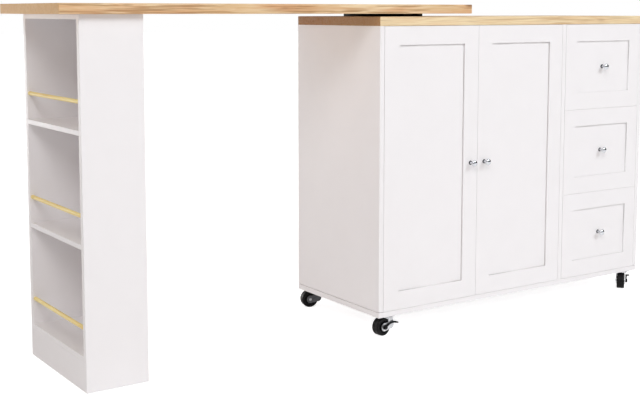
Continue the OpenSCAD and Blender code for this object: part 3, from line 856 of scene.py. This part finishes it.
class DowelRow(Pattern):
    """Equal dowels along Y, one above another."""

    def __init__(self) -> None:
        """Build the tree."""
        sizes = {name: float for name in ("Pitch", "Diameter", "Length")}
        super().__init__("dowel_row", Count=int, **sizes, Lowest=tuple)
        size = self.inputs
        step = self.add("ShaderNodeCombineXYZ", {"Z": size["Pitch"]})
        feeds = {"Count": size["Count"], "Start Location": size["Lowest"], "Offset": step}
        row = self.add("GeometryNodeMeshLine", feeds)
        radius = self.add("ShaderNodeMath", (size["Diameter"], 0.5), operation="MULTIPLY")
        feeds = {"Vertices": 48, "Radius": radius, "Depth": size["Length"]}
        dowel = self.add("GeometryNodeMeshCylinder", feeds)
        feeds = {"Geometry": dowel, "Rotation": (math.pi / 2, 0.0, 0.0)}
        self.repeat(row, self.add("GeometryNodeTransform", feeds))


class WheelRibs(Pattern):
    """Ribs that stand around Z like spokes, in the recesses on both sides of a wheel."""

    def __init__(self) -> None:
        """Build the tree."""
        sizes = {name: float for name in ("Circle", "Length", "Thickness", "Width")}
        super().__init__("wheel_ribs", Count=int, **sizes)
        size = self.inputs
        feeds = {"Vertices": size["Count"], "Radius": size["Circle"]}
        circle = self.add("GeometryNodeMeshCircle", feeds)
        sides = self.add("ShaderNodeCombineXYZ", (size["Length"], size["Thickness"], size["Width"]))
        rib = self.add("GeometryNodeMeshCube", {"Size": sides})
        outward = {"Vector": self.add("GeometryNodeInputPosition")}
        turn = self.add("FunctionNodeAlignRotationToVector", outward, axis="X")
        self.repeat(circle, rib, Rotation=turn)


# The workshop that every sub-assembly uses


class Workshop:
    """Holds the finishes and the patterns, and fits finished pieces to the frame."""

    def __init__(self) -> None:
        """Make every finish and every pattern once."""
        self.finishes = {slot: finish.make() for slot, finish in FINISHES.items()}
        self.worktop_wood = WORKTOP_WOOD.make()
        self.screws = ScrewHeads()
        self.boards = GluedBoards()
        self.balls = BallRace()
        self.dowels = DowelRow()
        self.ribs = WheelRibs()

    def paint_nodes(self) -> None:
        """Give every node of the frame the finish of its material slot."""
        for part in frame["record"]["subparts"]:
            mesh = frame["nodes"][part["node"]].data
            mesh.materials.clear()
            mesh.materials.append(self.finishes[Slot(part["material_slot"])])

    def fit(self, piece: Object, body: str, slot: Slot, *replaced: str) -> None:
        """Give a piece its finish and its body, and hide what it stands for.

        Args:
            piece: The finished piece.
            body: Body that it moves with.
            slot: Material slot of its finish.
            *replaced: Nodes that it replaces.
        """
        piece.data.materials.clear()
        piece.data.materials.append(self.finishes[slot])
        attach(piece, body)
        if replaced:
            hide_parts(*replaced)
        log.info("%s rides on %s in %s", piece.name, body, self.finishes[slot].name)

    def ease(self, body: str, slot: Slot, ease: float, *nodes: str) -> None:
        """Replace boards by copies with rounded edges.

        Args:
            body: Body of the boards.
            slot: Material slot of their finish.
            ease: Radius of the rounding.
            *nodes: Names of the boards.
        """
        for node in nodes:
            self.fit(eased(node, ease), body, slot, node)

    def drive(self, name: str, body: str, spots: list[Triple], way: Vector, head: Pair) -> None:
        """Set zinc-plated screw heads at a list of spots.

        Args:
            name: Name of the piece.
            body: Body that the screws move with.
            spots: Points under the heads.
            way: Way that the heads face.
            head: Diameter and height of a head.
        """
        diameter, height = head
        # The recess' width, and how far a head stands off, so that its base can't flicker
        slot, lift = 0.16 * diameter, 0.05 * height
        points = bpy.data.meshes.new(name)
        points.from_pydata([Vector(spot) + way * lift for spot in spots], [], [])
        ways = points.attributes.new("way", "FLOAT_VECTOR", "POINT")
        ways.data.foreach_set("vector", [*way] * len(spots))
        sizes = {"Diameter": diameter, "Height": height, "Slot": slot}
        zinc = self.finishes[Slot.ZINC]
        self.fit(self.screws.grow(name, zinc, points, **sizes), body, Slot.ZINC)

    def glue_top(
        self,
        node: str,
        body: str,
        seed: int,
        ease: float,
        wood: Material,
        boards: int = 3,
        seam: float = 0.06 * MM,
        soft: float = 0.12,
    ) -> None:
        """Replace a wooden top by glued boards with rounded outer edges.

        Args:
            node: Node of the top.
            body: Body of the top.
            seed: Seed of the boards' places in the log.
            ease: Radius of the outer edges.
            wood: Its wood.
            boards: Number of boards side by side.
            seam: Width of a glued seam.
            soft: Radius of the edges along a seam, as a share of the outer ones'.
        """
        low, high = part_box(node)
        size = high - low
        sizes = {"Length": size.x, "Depth": size.y, "Thickness": size.z, "Joint": seam}
        middle = tuple((low + high) / 2)
        piece = self.boards.grow(
            f"{node}_boards", wood, Boards=boards, Seed=seed, Middle=middle, **sizes
        )
        work = bmesh.new()
        work.from_mesh(piece.data)
        weights = work.edges.layers.float.new("bevel_weight_edge")
        for edge in work.edges:
            inner = all(low.y + MM < v.co.y < high.y - MM for v in edge.verts)
            edge[weights] = soft if inner else 1.0
        work.to_mesh(piece.data)
        work.free()
        bevel = piece.modifiers.new("eased edges", "BEVEL")
        bevel.limit_method, bevel.width, bevel.segments = "WEIGHT", ease, 3
        bevel.use_clamp_overlap = True
        piece = evened(piece)
        self.fit(piece, body, Slot.TOP, node)
        piece.data.materials[0] = wood


# Sub-assemblies


@dataclass
class Assembly:
    """A sub-assembly, with the workshop that makes its pieces."""

    shop: Workshop

    def build(self) -> None:
        """Make its pieces, each kind in its own way."""
        raise NotImplementedError


@dataclass
class Cabinet(Assembly):
    """The white carcass with its worktop, shelf, door catches and back."""

    seed: int = 23  # Seed of the worktop's boards
    ease: float = 0.8 * MM  # Radius of the boards' edges
    arris: float = 2.6 * MM  # Chamfer of the sides where they stand on the bottom board
    top_ease: float = 1.5 * MM  # Radius of the worktop's and the door catches' edges
    screw: Pair = (6 * MM, 1.6 * MM)  # Diameter and height of the back panel's screw heads
    screw_pitch: float = 170 * MM  # Wanted distance between those screws
    screw_inset: float = 9 * MM  # Their distance from the panel's edges
    pocket: Pair = (6.8 * MM, 1.9 * MM)  # Diameter and depth of the pocket for a screw's head

    def build(self) -> None:
        """Make the carcass."""
        shop = self.shop
        boards = ("divider", "bottom", "top_rails", "shelf")
        shop.ease("cabinet", Slot.BOARD, self.ease, *(f"cabinet_{b}" for b in boards))
        for side in ("cabinet_side_left", "cabinet_side_right"):
            shop.fit(eased(side, self.ease, foot=self.arris), "cabinet", Slot.BOARD, side)
        shop.ease("cabinet", Slot.PLASTIC, self.top_ease, "door_catches")
        # The worktop's wood has painted shade on its sawn ends
        shop.glue_top("worktop", "cabinet", self.seed, self.top_ease, shop.worktop_wood)
        self.screw_back()

    def screw_back(self) -> None:
        """Make the back panel and sink its screws into pockets along its edges."""
        low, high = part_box("cabinet_back")
        inset = Vector((1, 0, 1)) * self.screw_inset
        first, last = low + inset, high - inset
        across, up = (round(length / self.screw_pitch) for length in (high - low).xz)
        columns = [first.x + (last.x - first.x) * k / across for k in range(across + 1)]
        rows = [first.z + (last.z - first.z) * k / up for k in range(1, up)]
        spots = [(x, z) for x in columns for z in (first.z, last.z)]
        spots += [(x, z) for z in rows for x in (first.x, last.x)]
        work = bmesh.new()
        radius, depth = self.pocket[0] / 2, self.pocket[1]
        for x, z in spots:
            place = aimed(Vector((x, high.y, z)), BACK)
            size = {"radius1": radius, "radius2": radius, "depth": 2 * depth}
            bmesh.ops.create_cone(work, cap_ends=True, segments=20, **size, matrix=place)
        drill = finished("drill", work, Corner.FACETED)
        panel = eased("cabinet_back", self.ease, drill=drill)
        bpy.data.objects.remove(drill)
        self.shop.fit(panel, "cabinet", Slot.BOARD, "cabinet_back")
        heads = [(x, high.y - depth, z) for x, z in spots]
        self.shop.drive("back_panel_screws", "cabinet", heads, BACK, self.screw)


@dataclass
class Turntable(Assembly):
    """Two black rings with balls between them, which carry the swinging table."""

    count: int = 24  # Number of balls
    ball: float = 5 * MM  # Diameter of a ball
    gap: float = 2.4 * MM  # Width of the gap between the rings

    def build(self) -> None:
        """Make the balls and the rings."""
        low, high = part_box("turntable_rotor")
        middle = (low + high) / 2
        middle.z = sum(v.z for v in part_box("turntable_balls")) / 2
        race = self.shop.balls.grow(
            "race_balls",
            self.shop.finishes[Slot.ZINC],
            Count=self.count,
            Circle=(high.x - low.x + self.gap) / 2,
            Ball=self.ball / 2,
            Middle=tuple(middle),
        )
        self.shop.fit(race, "cabinet", Slot.ZINC, "turntable_balls")
        for node, body in (("turntable_base", "cabinet"), ("turntable_rotor", "table")):
            ring = finished(f"{node}_ring", merged(node), Corner.ROUND, FORMED)
            self.shop.fit(ring, body, Slot.RING, node)


@dataclass
class Tower(Assembly):
    """The open tower that carries the far end of the swinging table top."""

    seed: int = 7  # Seed of the table top's boards
    ease: float = 0.8 * MM  # Radius of the boards' edges
    top_ease: float = 1.5 * MM  # Radius of the table top's edges
    rails: int = 3  # Number of guard rails
    rail: float = 10 * MM  # Diameter of a guard rail
    screw: Pair = (6.5 * MM, 1.8 * MM)  # Diameter and height of the brackets' screw heads
    screw_reach: float = 14 * MM  # Distance of those screws from a roller's middle
    bracket: float = 2 * MM  # Thickness of a roller bracket's plate

    def build(self) -> None:
        """Make the table top, the tower's boards, its guard rails and its rollers."""
        wood = self.shop.finishes[Slot.TOP]
        self.shop.glue_top("table_top", "table", self.seed, self.top_ease, wood)
        boards = ("side_front", "side_rear", "back", "top", "shelves", "bottom", "plinth")
        self.shop.ease("table", Slot.BOARD, self.ease, *(f"tower_{b}" for b in boards))
        self.hang_rails()
        self.screw_brackets()
        for side in ("front", "rear"):
            Wheel(self.shop, f"roller_{side}", f"roller_{side}").build()

    def hang_rails(self) -> None:
        """Hang the guard rails."""
        low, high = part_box("guard_rails")
        middle = (low + high) / 2
        rails = self.shop.dowels.grow(
            "guard_rail_dowels",
            self.shop.finishes[Slot.RAIL],
            Count=self.rails,
            Pitch=(high.z - low.z - self.rail) / (self.rails - 1),
            Diameter=self.rail,
            Length=high.y - low.y,
            Lowest=(middle.x, middle.y, low.z + self.rail / 2),
        )
        rails.data.shade_smooth()
        rails.data.set_sharp_from_angle(angle=math.radians(FORMED))
        self.shop.fit(rails, "table", Slot.RAIL, "guard_rails")

    def screw_brackets(self) -> None:
        """Screw the roller brackets to the tower's bottom board."""
        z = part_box("roller_brackets")[1].z - self.bracket
        rollers = (joint(f"roller_{side}_spin")[0] for side in ("front", "rear"))
        reach = self.screw_reach
        spots = [(roller.x, roller.y + y, z) for roller in rollers for y in (-reach, reach)]
        self.shop.drive("bracket_screws", "table", spots, -UP, self.screw)


@dataclass
class Knob(Assembly):
    """A turned and chromed knob on a round foot, with its screw behind the board."""

    body: str  # Door or drawer that it is on
    board: str  # Node of the board that it is screwed to
    foot: Pair = (6 * MM, 1.8 * MM)  # Radius and height of the foot
    rim: float = 0.6 * MM  # Radius of the foot's rim
    neck: float = 3.5 * MM  # Radius of the neck
    coves: Pair = (2 * MM, 2.4 * MM)  # Radius of the coves below and above the neck
    head: float = 13.5 * MM  # Height of the knob above the middle of the upper cove
    crown: float = 6 * MM  # Height of the knob above its widest ring
    tuck: float = 0.99  # Width just under that ring, as a share of it
    dull: float = 3.0 * MM  # Height of the part next to the board that gets painted shade
    steps: int = 48  # Number of faces around it
    screw: Pair = (8 * MM, 2.2 * MM)  # Diameter and height of the screw's head

    def build(self) -> None:
        """Make the knob and its screw."""
        node = f"{self.body}_knob"
        low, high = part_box(node)
        length, widest = high.y - low.y, (high.x - low.x) / 2
        x, z = (low.x + high.x) / 2, (low.z + high.z) / 2
        foot, rise = self.foot
        lower, upper = self.coves
        profile = [(0.0, 0.0), (foot, 0.0)]
        profile += arc((foot - self.rim, rise - self.rim), self.rim, 0, 90, 4)
        profile += arc((self.neck + lower, rise + lower), lower, 270, 180, 5)
        profile += arc((self.neck + upper, length - self.head), upper, 180, 110, 5)
        for out, up in arc((0.0, 0.0), 1.0, -62, 90, 20):
            reach = widest if up > 0 else widest * self.tuck
            profile.append((reach * out, length + self.crown * (up - 1)))
        profile[-1] = (0.0, length)
        work = lathe(profile, aimed(Vector((x, high.y, z)), -BACK), self.steps)
        knob = finished(f"{node}_turned", work, Corner.ROUND)
        # Painted shade on the foot and neck, next to the board
        dull = high.y - self.dull
        mark_painted_shade(knob, [float(v.co.y > dull) for v in knob.data.vertices])
        self.shop.fit(knob, self.body, Slot.KNOB, node)
        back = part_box(self.board)[1].y
        self.shop.drive(f"{node}_screw", self.body, [(x, back, z)], BACK, self.screw)


@dataclass
class Door(Assembly):
    """A framed door with its recessed panel and its knob."""

    side: str  # Side of the door bay, left or right
    ease: float = 0.4 * MM  # Radius of the frame's edges
    paint: float = 0.35 * MM  # Thickness of the paint on its top and bottom edges
    groove: float = 7 * MM  # Depth of the frame's groove
    play: Pair = (0.9 * MM, 0.35 * MM)  # Width of the panel's shadow gap at its sides and top
    gap_depth: float = 2 * MM  # Depth of that gap

    def build(self) -> None:
        """Make the door."""
        name = f"door_{self.side}"
        rim, field = f"{name}_frame", f"{name}_panel"
        self.shop.fit(eased(rim, self.ease, paint=self.paint), name, Slot.BOARD, rim)
        panel = seated_panel(field, self.groove, self.play, self.gap_depth)
        self.shop.fit(panel, name, Slot.BOARD, field)
        Knob(self.shop, name, rim).build()


@dataclass
class Drawer(Assembly):
    """A drawer with its routed front, its box and its knob."""

    level: str  # Place of the drawer: top, middle or bottom
    ease: float = 0.4 * MM  # Radius of the front's edges
    box_ease: float = MM  # Radius of the box's edges
    paint: float = 0.3 * MM  # Thickness of the paint on the front's top and bottom edges

    def build(self) -> None:
        """Make the drawer."""
        name = f"drawer_{self.level}"
        front = f"{name}_front"
        self.shop.fit(eased(front, self.ease, paint=self.paint), name, Slot.BOARD, front)
        self.shop.ease(name, Slot.BOX, self.box_ease, f"{name}_box")
        Knob(self.shop, name, front).build()


@dataclass
class Wheel(Assembly):
    """A moulded wheel with a rounded tread, ribbed recesses and a hub."""

    node: str  # Node of the wheel
    body: str  # Its body, whose joint turns it
    bore: float = 3.06 * MM  # Radius of the bore
    chamfer: float = 0.4 * MM  # Chamfer of the bore
    hub: float = 9.5 * MM  # Outer radius of the hub
    web: float = 17 * MM  # Outer radius of the recesses
    dish: float = 3 * MM  # Depth of the recesses
    fillet: float = 0.7 * MM  # Radius of the edges of hub and recesses
    rounding: float = 3 * MM  # Radius of the tread's shoulders
    # Half width of the tread's moulding line, as a share of the wheel's, and its depth
    line: Pair = (0.12, 0.35 * MM)
    rib: float = 1.6 * MM  # Thickness of a rib
    rib_inset: float = 0.6 * MM  # How far the ribs lie behind the wheel's sides
    rib_hold: float = 0.5 * MM  # How far a rib reaches into the hub and the rim
    spokes: int = 10  # Number of ribs
    steps: int = 72  # Number of faces around the tread

    def build(self) -> None:
        """Make the wheel."""
        point, axis = joint(f"{self.body}_spin")
        _, half, radius = measured(self.node, point, axis)
        small, bore, hub, web = self.fillet, self.bore, self.hub, self.web
        floor, rim = half - self.dish + small, half - small
        side = [(bore, half - self.chamfer), (bore + self.chamfer, half)]
        side += arc((hub - small, rim), small, 90, 0)
        side += arc((hub + small, floor), small, 180, 270)
        side += arc((web - small, floor), small, 270, 360)
        side += arc((web + small, rim), small, 180, 90)
        side += arc((radius - self.rounding, half - self.rounding), self.rounding, 90, 0, 6)
        # The tread has a shallow moulding line in its middle
        line, depth = half * self.line[0], self.line[1]
        tread = [(radius, line), (radius - depth, 0.0), (radius, -line)]
        profile = side + tread + [(r, -z) for r, z in reversed(side)]
        place = aimed(point, axis)
        tyre = lathe(profile, place, self.steps)
        tyre = finished(f"{self.node}_moulded", tyre, Corner.ROUND)
        self.shop.fit(tyre, self.body, Slot.PLASTIC, self.node)
        ribs = self.shop.ribs.grow(
            f"{self.node}_ribs",
            self.shop.finishes[Slot.PLASTIC],
            Count=self.spokes,
            Circle=(hub + web) / 2,
            Length=web - hub + 2 * self.rib_hold,
            Thickness=self.rib,
            Width=2 * (half - self.rib_inset),
        )
        ribs.data.transform(place)
        self.shop.fit(ribs, self.body, Slot.PLASTIC)


@dataclass
class BrakeLever(Assembly):
    """The moulded side lever of a front castor: an arched arm with a foot tab."""

    corner: str  # Corner of the cabinet
    hub: float = 6.5 * MM  # Radius of the hub
    bore: float = 3.06 * MM  # Radius of its bore
    thick: float = 4 * MM  # Thickness of the hub
    cap: float = 5.4 * MM  # Radius of the cap over the axle
    cap_height: float = 2.4 * MM  # Height of the cap
    rim: float = 0.6 * MM  # Chamfer of hub and cap, and wall of the cap
    steps: int = 40  # Number of faces around the hub
    sides: int = 16  # Number of faces around the arm
    # Powers that make the arm's section, which would be an ellipse at one, a rounded rectangle
    powers: Pair = (0.45, 0.6)

    def build(self) -> None:
        """Make the lever."""
        node = f"brake_lever_{self.corner}"
        point, _ = joint(f"lever_{self.corner}_press")
        _, side = joint(f"wheel_{self.corner}_spin")
        low, far, _ = measured(node, point, side)
        if abs(low) > abs(far):
            side, low, far = -side, -far, -low
        high = low + self.thick
        work = self.turn_hub(low, high, aimed(point, side))
        ahead = side.cross(UP)
        if ahead.dot(joint(f"castor_{self.corner}_swivel")[0] - point) > 0:
            ahead = -ahead
        turn = Matrix((ahead, side, UP)).transposed().to_4x4()
        self.mould_arm(work, low, high, far, Matrix.Translation(point) @ turn)
        bmesh.ops.recalc_face_normals(work, faces=work.faces)
        lever = finished(f"{node}_moulded", work, Corner.ROUND)
        self.shop.fit(lever, f"lever_{self.corner}", Slot.PLASTIC, node)

    def turn_hub(self, low: float, high: float, place: Matrix) -> BMesh:
        """Turn the hub with its cap.

        Args:
            low: Distance of the hub's inner side from the wheel's middle.
            high: Distance of its outer side.
            place: Where its axis goes.

        Returns:
            The hub in place.
        """
        hub, cap, rim, top = self.hub, self.cap, self.rim, high + self.cap_height
        profile = [(self.bore, low), (hub - rim, low), (hub, low + rim), (hub, high - rim)]
        profile += [(hub - rim, high), (cap, high), (cap, top - rim), (cap - rim, top), (0.0, top)]
        profile += [(0.0, top - rim), (cap - rim, top - rim), (cap - rim, high - rim)]
        return lathe(profile + [(self.bore, high - rim)], place, self.steps)

    def mould_arm(self, work: BMesh, low: float, high: float, far: float, place: Matrix) -> None:
        """Add the arm with its foot tab.

        Args:
            work: Work mesh that gets the arm.
            low: Distance of the arm's inner side from the wheel's middle.
            high: Distance of its outer side.
            far: Distance of the tab's outer side.
            place: Where the arm goes; its X runs against the arm and its Z up.
        """
        # Along the arm: distance, height, inner and outer side, thickness, in millimetres
        near, face, tip = low / MM + 0.1, high / MM, far / MM
        sections = (
            (-3.5, 1.2, near, face, 8.6),
            (-8.0, 4.4, near, face, 7.2),
            (-13.0, 6.9, near, face, 5.6),
            (-19.0, 8.9, near, face, 4.6),
            (-26.0, 10.3, near, face + 0.3, 4.6),
            (-30.0, 10.9, near, face + 3.0, 5.2),
            (-33.0, 11.0, near + 0.1, tip - 1.5, 5.2),
            (-37.5, 10.2, near + 0.5, tip - 0.1, 4.6),
            (-41.2, 9.0, near + 1.5, tip - 0.6, 3.6),
            (-43.0, 8.4, near + 3.0, tip - 2.0, 2.2),
        )
        turns = [2 * math.pi * k / self.sides for k in range(self.sides)]
        rings = []
        for x, z, inner, outer, thick in sections:
            ring = []
            for out, up in ((math.cos(t), math.sin(t)) for t in turns):
                across = math.copysign(abs(out) ** self.powers[0], out) * (outer - inner) / 2
                rise = math.copysign(abs(up) ** self.powers[1], up) * thick / 2
                spot = Vector((x, (inner + outer) / 2 + across, z + rise)) * MM
                ring.append(work.verts.new(place @ spot))
            rings.append(ring)
        for one, two in zip(rings, rings[1:]):
            for k in range(self.sides):
                n = (k + 1) % self.sides
                work.faces.new((one[k], one[n], two[n], two[k]))
        work.faces.new(rings[0])
        work.faces.new(rings[-1])


@dataclass
class Castor(Assembly):
    """A swivel castor: pressed fork, moulded wheel, plate screws and, in front, a brake lever."""

    corner: str  # Corner of the cabinet, such as fl for front left
    rear_painted_shade: float = 0.93  # How much painted shade the zinc of the rear forks gets
    rivet_painted_shade: float = 0.1  # How much painted shade the heads of their axles get: little, so they stay bright
    rivet_r: float = 4.7 * MM  # Radius of an axle's head, with a little room
    cheek: float = 15.3 * MM  # Distance of a fork's outer face from the wheel's middle, with room
    screw: Pair = (6.4 * MM, 1.6 * MM)  # Diameter and height of the plate's screw heads
    screw_reach: float = 15.5 * MM  # Distance of those screws from the swivel axis
    plate: float = 2 * MM  # Thickness of the plate

    def build(self) -> None:
        """Make the castor."""
        node = f"castor_fork_{self.corner}"
        fork = finished(f"{node}_pressed", merged(node), Corner.ROUND, FORMED)
        # Painted shade on the rear forks, apart from the heads of their axles
        mark_painted_shade(fork, [self.painted_shade_at(v.co) for v in fork.data.vertices])
        self.shop.fit(fork, f"castor_{self.corner}", Slot.ZINC, node)
        Wheel(self.shop, f"castor_wheel_{self.corner}", f"wheel_{self.corner}").build()
        if self.corner.startswith("f"):
            BrakeLever(self.shop, self.corner).build()
        point, _ = joint(f"castor_{self.corner}_swivel")
        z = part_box("castor_plates")[1].z - self.plate
        sides = (-self.screw_reach, self.screw_reach)
        spots = [(point.x + a, point.y + b, z) for a in sides for b in sides]
        self.shop.drive(f"plate_screws_{self.corner}", "cabinet", spots, -UP, self.screw)

    def painted_shade_at(self, spot: Vector) -> float:
        """Tell how much painted shade the zinc gets at a spot: a rear fork gets it, apart from its axle's heads.

        Args:
            spot: A point of the fork.

        Returns:
            The share of painted shade, from nought to one.
        """
        if self.corner.startswith("f"):
            return 0.0
        point, axis = joint(f"wheel_{self.corner}_spin")
        along = (spot - point).dot(axis)
        out = (spot - point - axis * along).length
        return self.rivet_painted_shade if out < self.rivet_r and abs(along) > self.cheek else self.rear_painted_shade


# Studio


@dataclass(frozen=True)
class SoftBox:
    """A square lamp."""

    name: str  # Name of the lamp
    spot: Triple  # Where it hangs
    target: Triple  # Where it points
    size: float  # Its side
    power: float  # Its power, in watts
    color: str = "FFFFFF"  # sRGB hex value of its light

    def hang(self) -> None:
        """Hang the lamp."""
        data = bpy.data.lights.new(self.name, "AREA")
        data.color = linear(self.color)[:3]
        data.shape, data.size, data.energy = "SQUARE", self.size, self.power
        lamp = added(self.name, data)
        lamp.location = self.spot
        way = Vector(self.target) - Vector(self.spot)
        lamp.rotation_euler = way.to_track_quat("-Z", "Y").to_euler()


@dataclass
class Studio:
    """White floor, soft lights and the camera at the photograph's viewing angle."""

    spot: Triple = (-1.88347, -2.58426, 0.895)  # Where the camera stands
    heading: float = 0.97816  # Way that it looks, turned from +X, in radians
    dip: float = 0.10434  # How far it looks down, in radians
    focus_px: float = 1115.215  # Its focal length, in pixels of the photograph
    frame_px: float = 640.0  # Width of the photograph, in pixels
    sensor: float = 36.0  # Width of its sensor, in millimetres
    shift: float = -0.12  # Vertical shift of the picture, as a share of its width
    sight: float = 100.0  # How far it sees
    floor: float = 40.0  # Half of the floor's width
    level: float = 0.43  # Strength of the even light on the object
    mirrored: float = 0.4  # How white a mirror shows the room
    glow: float = 0.75  # How brightly the camera sees the floor shine
    # Distance of the dark cloths, how far back they reach, and the heights of their edges
    flags: tuple[float, ...] = (8.0, 2.0, 0.1, 4.2)
    lamps: tuple[SoftBox, ...] = (
        SoftBox("key", (2.4, -5.0, 4.4), (0.0, 0.0, 0.45), 2.2, 160.0, "F2FAFF"),
        SoftBox("left_fill", (-5.25, -6.75, 7.3), (0.0, 0.0, 0.4), 4.5, 362.0),
        SoftBox("rear_fill", (-1.2, 4.5, 0.5), (-0.1, 0.0, 0.4), 1.0, 50.0),
    )

    def build(self) -> None:
        """Make the floor, the world, the lights and the camera."""
        self.lay_floor()
        self.light_world()
        for lamp in self.lamps:
            lamp.hang()
        self.stand_flags()
        self.place_camera()
        bpy.context.scene.view_settings.view_transform = "Standard"

    def lay_floor(self) -> None:
        """Lay a pale floor that the camera sees as white apart from the island's shadow."""
        work = bmesh.new()
        bmesh.ops.create_grid(work, x_segments=1, y_segments=1, size=self.floor)
        floor = finished("floor", work, Corner.FACETED)
        material = Finish("pale_floor", "F4F4F4", 0.9).make()
        tree = material.node_tree
        glow = add_node(tree, "ShaderNodeMath", (self.seen(tree), self.glow), operation="MULTIPLY")
        shine = {"Emission Color": (1, 1, 1, 1), "Emission Strength": glow}
        feed(tree.nodes["Principled BSDF"], shine)
        floor.data.materials.append(material)

    def seen(self, tree: NodeTree) -> NodeSocket:
        """Tell how white a ray sees the room: fully from the camera, partly in a mirror.

        Args:
            tree: Tree of the material or the world.

        Returns:
            One for rays of the camera and through glass, a part for glossy ones, else nought.
        """
        glossy = add_node(tree, "ShaderNodeLightPath", out="Is Glossy Ray")
        rays = glossy.node.outputs
        clear = (rays["Is Camera Ray"], rays["Is Transmission Ray"])
        feeds = (glossy, self.mirrored, add_node(tree, "ShaderNodeMath", clear))
        return add_node(tree, "ShaderNodeMath", feeds, operation="MULTIPLY_ADD", use_clamp=True)

    def light_world(self) -> None:
        """Light the room evenly and a little warmly, and show it as white."""
        world = bpy.data.worlds.new("white_room")
        bpy.context.scene.world = world
        world.use_nodes = True
        tree = world.node_tree
        even = tree.nodes["Background"]
        feed(even, {"Color": linear("FFF7F3"), "Strength": self.level})
        white = add_node(tree, "ShaderNodeBackground", {"Color": (1, 1, 1, 1)})
        mixed = add_node(tree, "ShaderNodeMixShader", (self.seen(tree), even.outputs[0], white))
        feed(tree.nodes["World Output"], {"Surface": mixed})

    def stand_flags(self) -> None:
        """Stand dark cloths around the front, which only mirrors such as the chrome show."""
        far, back, low, high = self.flags
        line = [(-far, back), (-far, -far), (far, -far), (far, back)]
        spots = [(x, y, z) for x, y in line for z in (low, high)]
        mesh = bpy.data.meshes.new("flags")
        mesh.from_pydata(spots, [], [(0, 1, 3, 2), (2, 3, 5, 4), (4, 5, 7, 6)])
        flags = added("flags", mesh)
        mesh.materials.append(Finish("black_studio_cloth", "161617", 0.9).make())
        flags.visible_camera = flags.visible_diffuse = flags.visible_shadow = False
        flags.visible_transmission = False

    def place_camera(self) -> None:
        """Place the camera that the photograph's perspective gives."""
        data = bpy.data.cameras.new("camera")
        data.sensor_width = self.sensor
        data.lens = self.focus_px * self.sensor / self.frame_px
        data.shift_y = self.shift
        data.clip_end = self.sight
        camera = added("camera", data)
        camera.location = self.spot
        camera.rotation_euler = (math.pi / 2 - self.dip, 0.0, self.heading - math.pi / 2)
        bpy.context.scene.camera = camera


def main() -> None:
    """Build the island and its studio."""
    logging.basicConfig(level=logging.INFO, format="%(message)s")
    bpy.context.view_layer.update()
    shop = Workshop()
    shop.paint_nodes()
    island: list[Assembly] = [Cabinet(shop), Turntable(shop), Tower(shop)]
    island += [Door(shop, side) for side in ("left", "right")]
    island += [Drawer(shop, level) for level in ("top", "middle", "bottom")]
    island += [Castor(shop, corner) for corner in ("fl", "fr", "rl", "rr")]
    for assembly in island:
        log.info("Making the %s", type(assembly).__name__)
        assembly.build()
    Studio().build()


if __name__ == "__main__":
    main()
